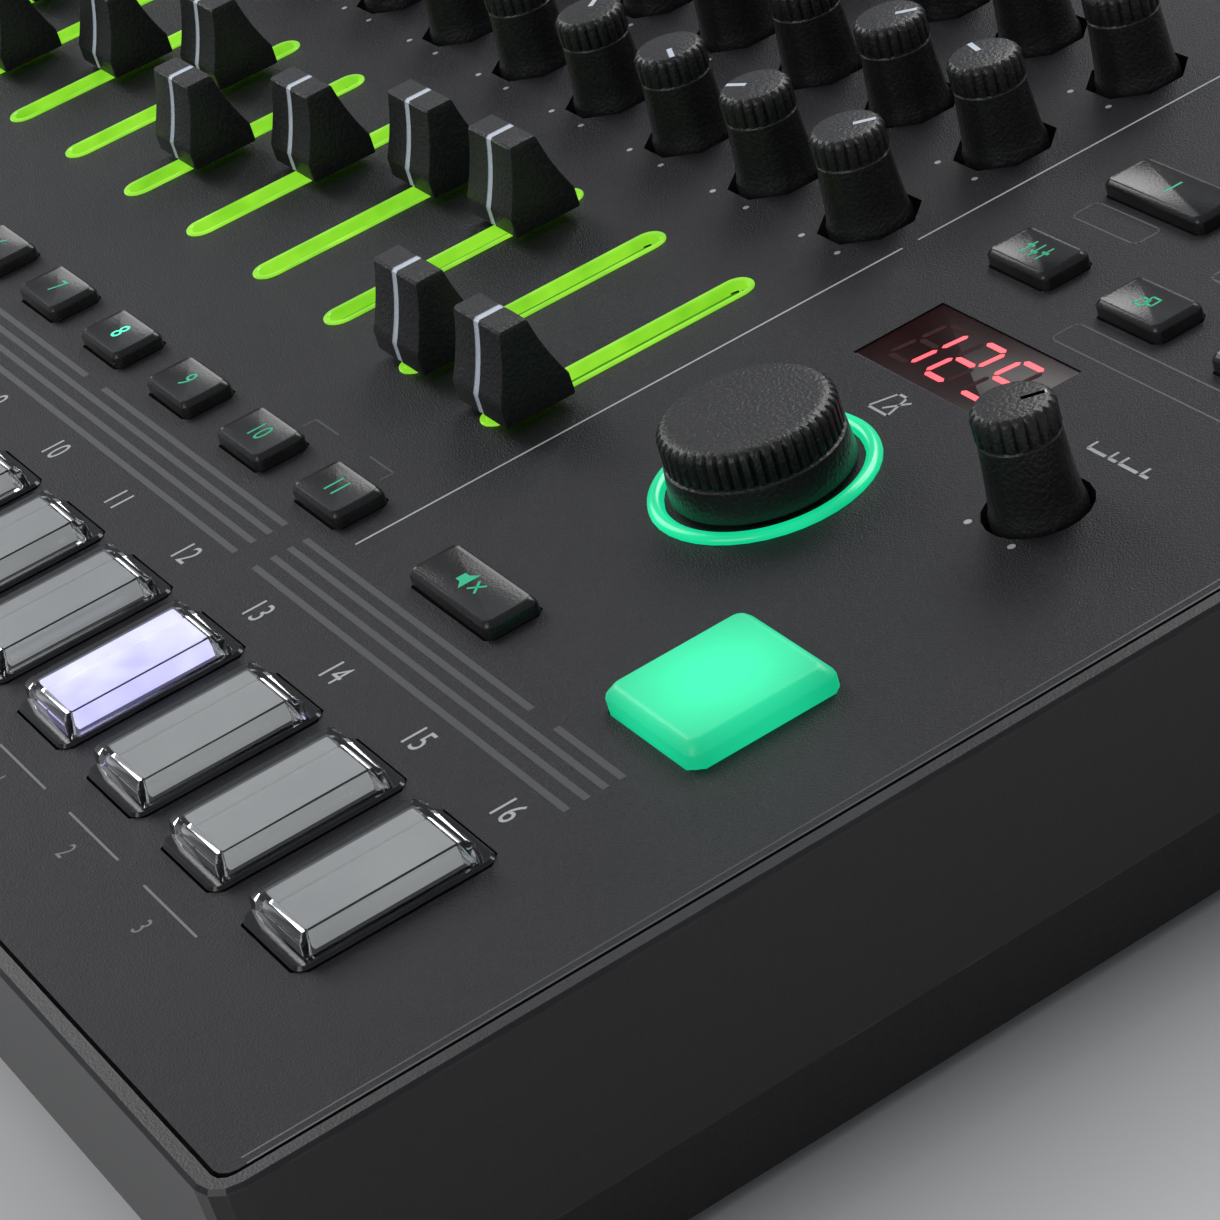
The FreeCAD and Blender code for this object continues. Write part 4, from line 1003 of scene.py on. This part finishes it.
def panel_stripe_piece():
    """Darker print: four long stripes with breaks, brackets, outlines and three front numbers."""
    z = PANEL_TOP + PRINT_LIFT
    ink = bmesh.new()
    stripe = 0.9 * MM
    left_end = -152 * MM
    rows = (-67.0, -69.2, -71.6, -74.2)
    for y in rows:
        runs = [(left_end, 93 * MM), (98.5 * MM, 177 * MM)]
        if y == rows[0]:
            runs = [(left_end, 29.9 * MM), (35.8 * MM, 93 * MM),
                    (98.5 * MM, 156.5 * MM), (162.1 * MM, 177 * MM)]
        for x0, x1 in runs:
            strokes(ink, [(x0, y * MM), (x1, y * MM)], stripe, z)
    front = -113.1 * MM
    for number, x in ((1, 114.0 * MM), (2, 135.0 * MM), (3, 156.0 * MM)):
        strokes(ink, [(x - 7 * MM, front), (x + 7 * MM, front)], 0.3 * MM, z, False, 1)
        lettering(ink, str(number), x, front - 3.6 * MM, 3.6 * MM, z, squeeze=0.85, material=1)
    bracket = -52.0 * MM
    for x0, x1, tip in ((72.2, 78.8, 72.2), (87.6, 94.3, 94.3)):
        strokes(ink, [(x0 * MM, bracket), (x1 * MM, bracket)], 0.3 * MM, z)
        strokes(ink, [(tip * MM, bracket), (tip * MM, bracket - 2.0 * MM)], 0.3 * MM, z)
    for x, y, width in ((158.6, 18.0, 34.0), (125.5, 38.0, 13.6), (154.0, 38.0, 13.6)):
        frame_line = rounded_outline(x * MM, y * MM, width * MM, 4.2 * MM, 0.6 * MM, 1)
        strokes(ink, frame_line, 0.25 * MM, z, True)
    edge = 203.0 * MM
    for x in (edge - 1.2 * MM, edge - 2.4 * MM):
        strokes(ink, [(x, -126 * MM), (x, 126 * MM)], 0.25 * MM, z)
    finish_mesh(ink, "panel_stripes", ["print_dim", "print_mid"], "housing", recalc=False)


# build the pieces
for number in range(1, STEP_COUNT + 1):
    step_key_pieces(number)
for number in range(1, CHANNELS + 1):
    push_key("select_%02d" % number, "select_key_%02d" % number, number_legend(str(number)),
             number == LIT_SELECT)
    fader_cap_piece(number)
push_key("mute", "mute_key", silence_icon)
for index, (x, y, width, legend) in enumerate(MENU_SPOTS):
    push_key("menu_extra_%d" % (index + 1), "menu_keys", legend, False, width, MENU_KEY_DEPTH,
             Vector((x, y, PANEL_TOP)), index == 0)
push_key("menu_left", "menu_key_left", sliders_icon)
push_key("menu_right", "menu_key_right", copy_icon)
wide_knob("tempo", "tempo_knob", radius=11 * MM, height=9.7 * MM, ribs=48)
wide_knob("value", "value_knob", radius=8 * MM, height=11 * MM, ribs=36)

KNOB_SPOTS = [(x, y) for y in KNOB_ROWS for x in CHANNEL_X] + LEFT_KNOBS
repeated("channel_knobs", KNOB_SPOTS, slim_knob_mesh(0, 0, CHANNEL_KNOB_HEIGHT), "knob", 0.0, 3,
         ["panel_knobs"])
repeated("channel_pointers", KNOB_SPOTS, pointer_mesh(0, 0, CHANNEL_KNOB_HEIGHT, 0.0), "line",
         CHANNEL_TURN_SPREAD, 7)
SLOT_SPOTS = [(x, FADER_LOW_Y + FADER_TRAVEL / 2) for x in CHANNEL_X]
repeated("slot_guides", SLOT_SPOTS, guide_mesh(), "guide", 0.0, 1, ["light_guides"])
repeated("slot_floors", SLOT_SPOTS, trough_mesh(), "guide_floor", 0.0, 1)
tempo_ring_piece()
display_piece()
panel_print_piece()
panel_stripe_piece()

shuffle_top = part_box("shuffle_knob")[1].z - PANEL_TOP
shuffle_body = slim_knob_mesh(SHUFFLE.x, SHUFFLE.y, shuffle_top - PRINT_LIFT)
finish_mesh(shuffle_body, "shuffle", ["knob"], "shuffle_knob", ["shuffle_knob"])
shuffle_line = pointer_mesh(SHUFFLE.x, SHUFFLE.y, shuffle_top - 2 * PRINT_LIFT, SHUFFLE_ANGLE)
finish_mesh(shuffle_line, "shuffle_pointer", ["line"], "shuffle_knob", recalc=False)


def lit_pad(name, node, size, material):
    """Frosted pad with a broad soft bevel."""
    c = node_centre(node)
    top = PANEL_TOP + PAD_HEIGHT
    pad = bmesh.new()
    rings = [
        (rounded_outline(c.x, c.y, size, size, 1.5 * MM), NECK_LOW),
        (rounded_outline(c.x, c.y, size, size, 1.5 * MM), top - 1.5 * MM),
        (rounded_outline(c.x, c.y, size - 0.25 * MM, size - 0.25 * MM, 1.45 * MM), top - 1.15 * MM),
        (rounded_outline(c.x, c.y, size - 2.0 * MM, size - 2.0 * MM, 1.2 * MM), top - 0.15 * MM),
        (rounded_outline(c.x, c.y, size - 2.6 * MM, size - 2.6 * MM, 1.0 * MM), top),
        (rounded_outline(c.x, c.y, size - 3.4 * MM, size - 3.4 * MM, 0.8 * MM), top),
    ]
    stack(pad, rings)
    finish_mesh(pad, name, [material], node, [node])


INSTRUMENT_PAD_SIZE = 19.6 * MM
START_KEY_SIZE = 22.0 * MM
lit_pad("instrument", "instrument_pad", INSTRUMENT_PAD_SIZE, "pad")
lit_pad("start", "start_key", START_KEY_SIZE, "start")

PAINT = {
    "top_panel": "panel", "case": "case", "bottom_case": "tray", "feet": "rubber", "screws": "screw",
    "control_board": "board", "potentiometers": "pots", "jack_board": "sockets", "screen": "screen",
    "power_switch": "key",
}
for node, key in PAINT.items():
    mesh = frame["nodes"][node].data
    mesh.materials.clear()
    mesh.materials.append(MATERIALS[key])

# floor, light and camera
FLOOR_SIZE = 6.0
FLOOR_GAP = 0.02 * MM
CAMERA_PLACE = Vector((0.5170, -0.1950, 0.2786))
CAMERA_AZIMUTH = math.radians(68.71)
CAMERA_ELEVATION = math.radians(30.54)
CAMERA_ROLL = math.radians(-18.07)
CAMERA_LENS = 119.8


def floor_piece():
    floor = bmesh.new()
    half = FLOOR_SIZE / 2
    corners = ((-1, -1), (1, -1), (1, 1), (-1, 1))
    floor.faces.new([floor.verts.new((a * half, b * half, -FLOOR_GAP)) for a, b in corners])
    mesh = bpy.data.meshes.new("floor")
    floor.to_mesh(mesh)
    floor.free()
    piece = new_object("floor", mesh)
    material, tree, shader, place = start_material("studio floor")
    cloud = add_node(tree, "ShaderNodeTexNoise", {"Vector": place, "Scale": 3.0, "Detail": 2.0})
    tone = blend_colour(tree, cloud.outputs["Fac"], (0.66, 0.66, 0.66), (0.70, 0.70, 0.70))
    tree.links.new(tone, shader.inputs["Base Color"])
    shader.inputs["Roughness"].default_value = 0.85
    mesh.materials.append(material)


def area_light(name, place, target, size, power):
    data = bpy.data.lights.new(name, "AREA")
    data.shape = "RECTANGLE"
    data.size = size[0]
    data.size_y = size[1]
    data.energy = power
    lamp = new_object(name, data)
    lamp.location = place
    lamp.rotation_euler = (Vector(target) - Vector(place)).to_track_quat("-Z", "Y").to_euler()


def studio():
    world = bpy.context.scene.world or bpy.data.worlds.new("studio")
    bpy.context.scene.world = world
    world.use_nodes = True
    background = world.node_tree.nodes["Background"]
    background.inputs["Color"].default_value = (0.72, 0.74, 0.78, 1.0)
    background.inputs["Strength"].default_value = 0.45
    area_light("back light", (-0.5, 1.3, 1.2), (0.05, 0.0, 0.04), (1.6, 0.8), 22.0)
    area_light("left light", (-1.4, -0.3, 1.1), (0.0, 0.0, 0.04), (1.0, 1.0), 12.0)
    area_light("front fill", (0.6, -1.6, 1.4), (0.1, 0.0, 0.04), (1.4, 1.0), 12.0)


def camera():
    right = Vector((math.cos(CAMERA_AZIMUTH), math.sin(CAMERA_AZIMUTH), 0))
    forward = Vector((-math.sin(CAMERA_AZIMUTH) * math.cos(CAMERA_ELEVATION),
                      math.cos(CAMERA_AZIMUTH) * math.cos(CAMERA_ELEVATION), -math.sin(CAMERA_ELEVATION)))
    up = right.cross(forward)
    rolled_right = right * math.cos(CAMERA_ROLL) + up * math.sin(CAMERA_ROLL)
    rolled_up = -right * math.sin(CAMERA_ROLL) + up * math.cos(CAMERA_ROLL)
    data = bpy.data.cameras.new("camera")
    data.lens = CAMERA_LENS
    data.sensor_width = 36.0
    data.sensor_fit = "HORIZONTAL"
    data.clip_start = 0.01
    view = new_object("camera", data)
    turn = Matrix((rolled_right, rolled_up, -forward)).transposed().to_4x4()
    view.matrix_world = Matrix.Translation(CAMERA_PLACE) @ turn
    bpy.context.scene.camera = view


floor_piece()
studio()
camera()
bpy.context.scene.view_settings.view_transform = "Standard"
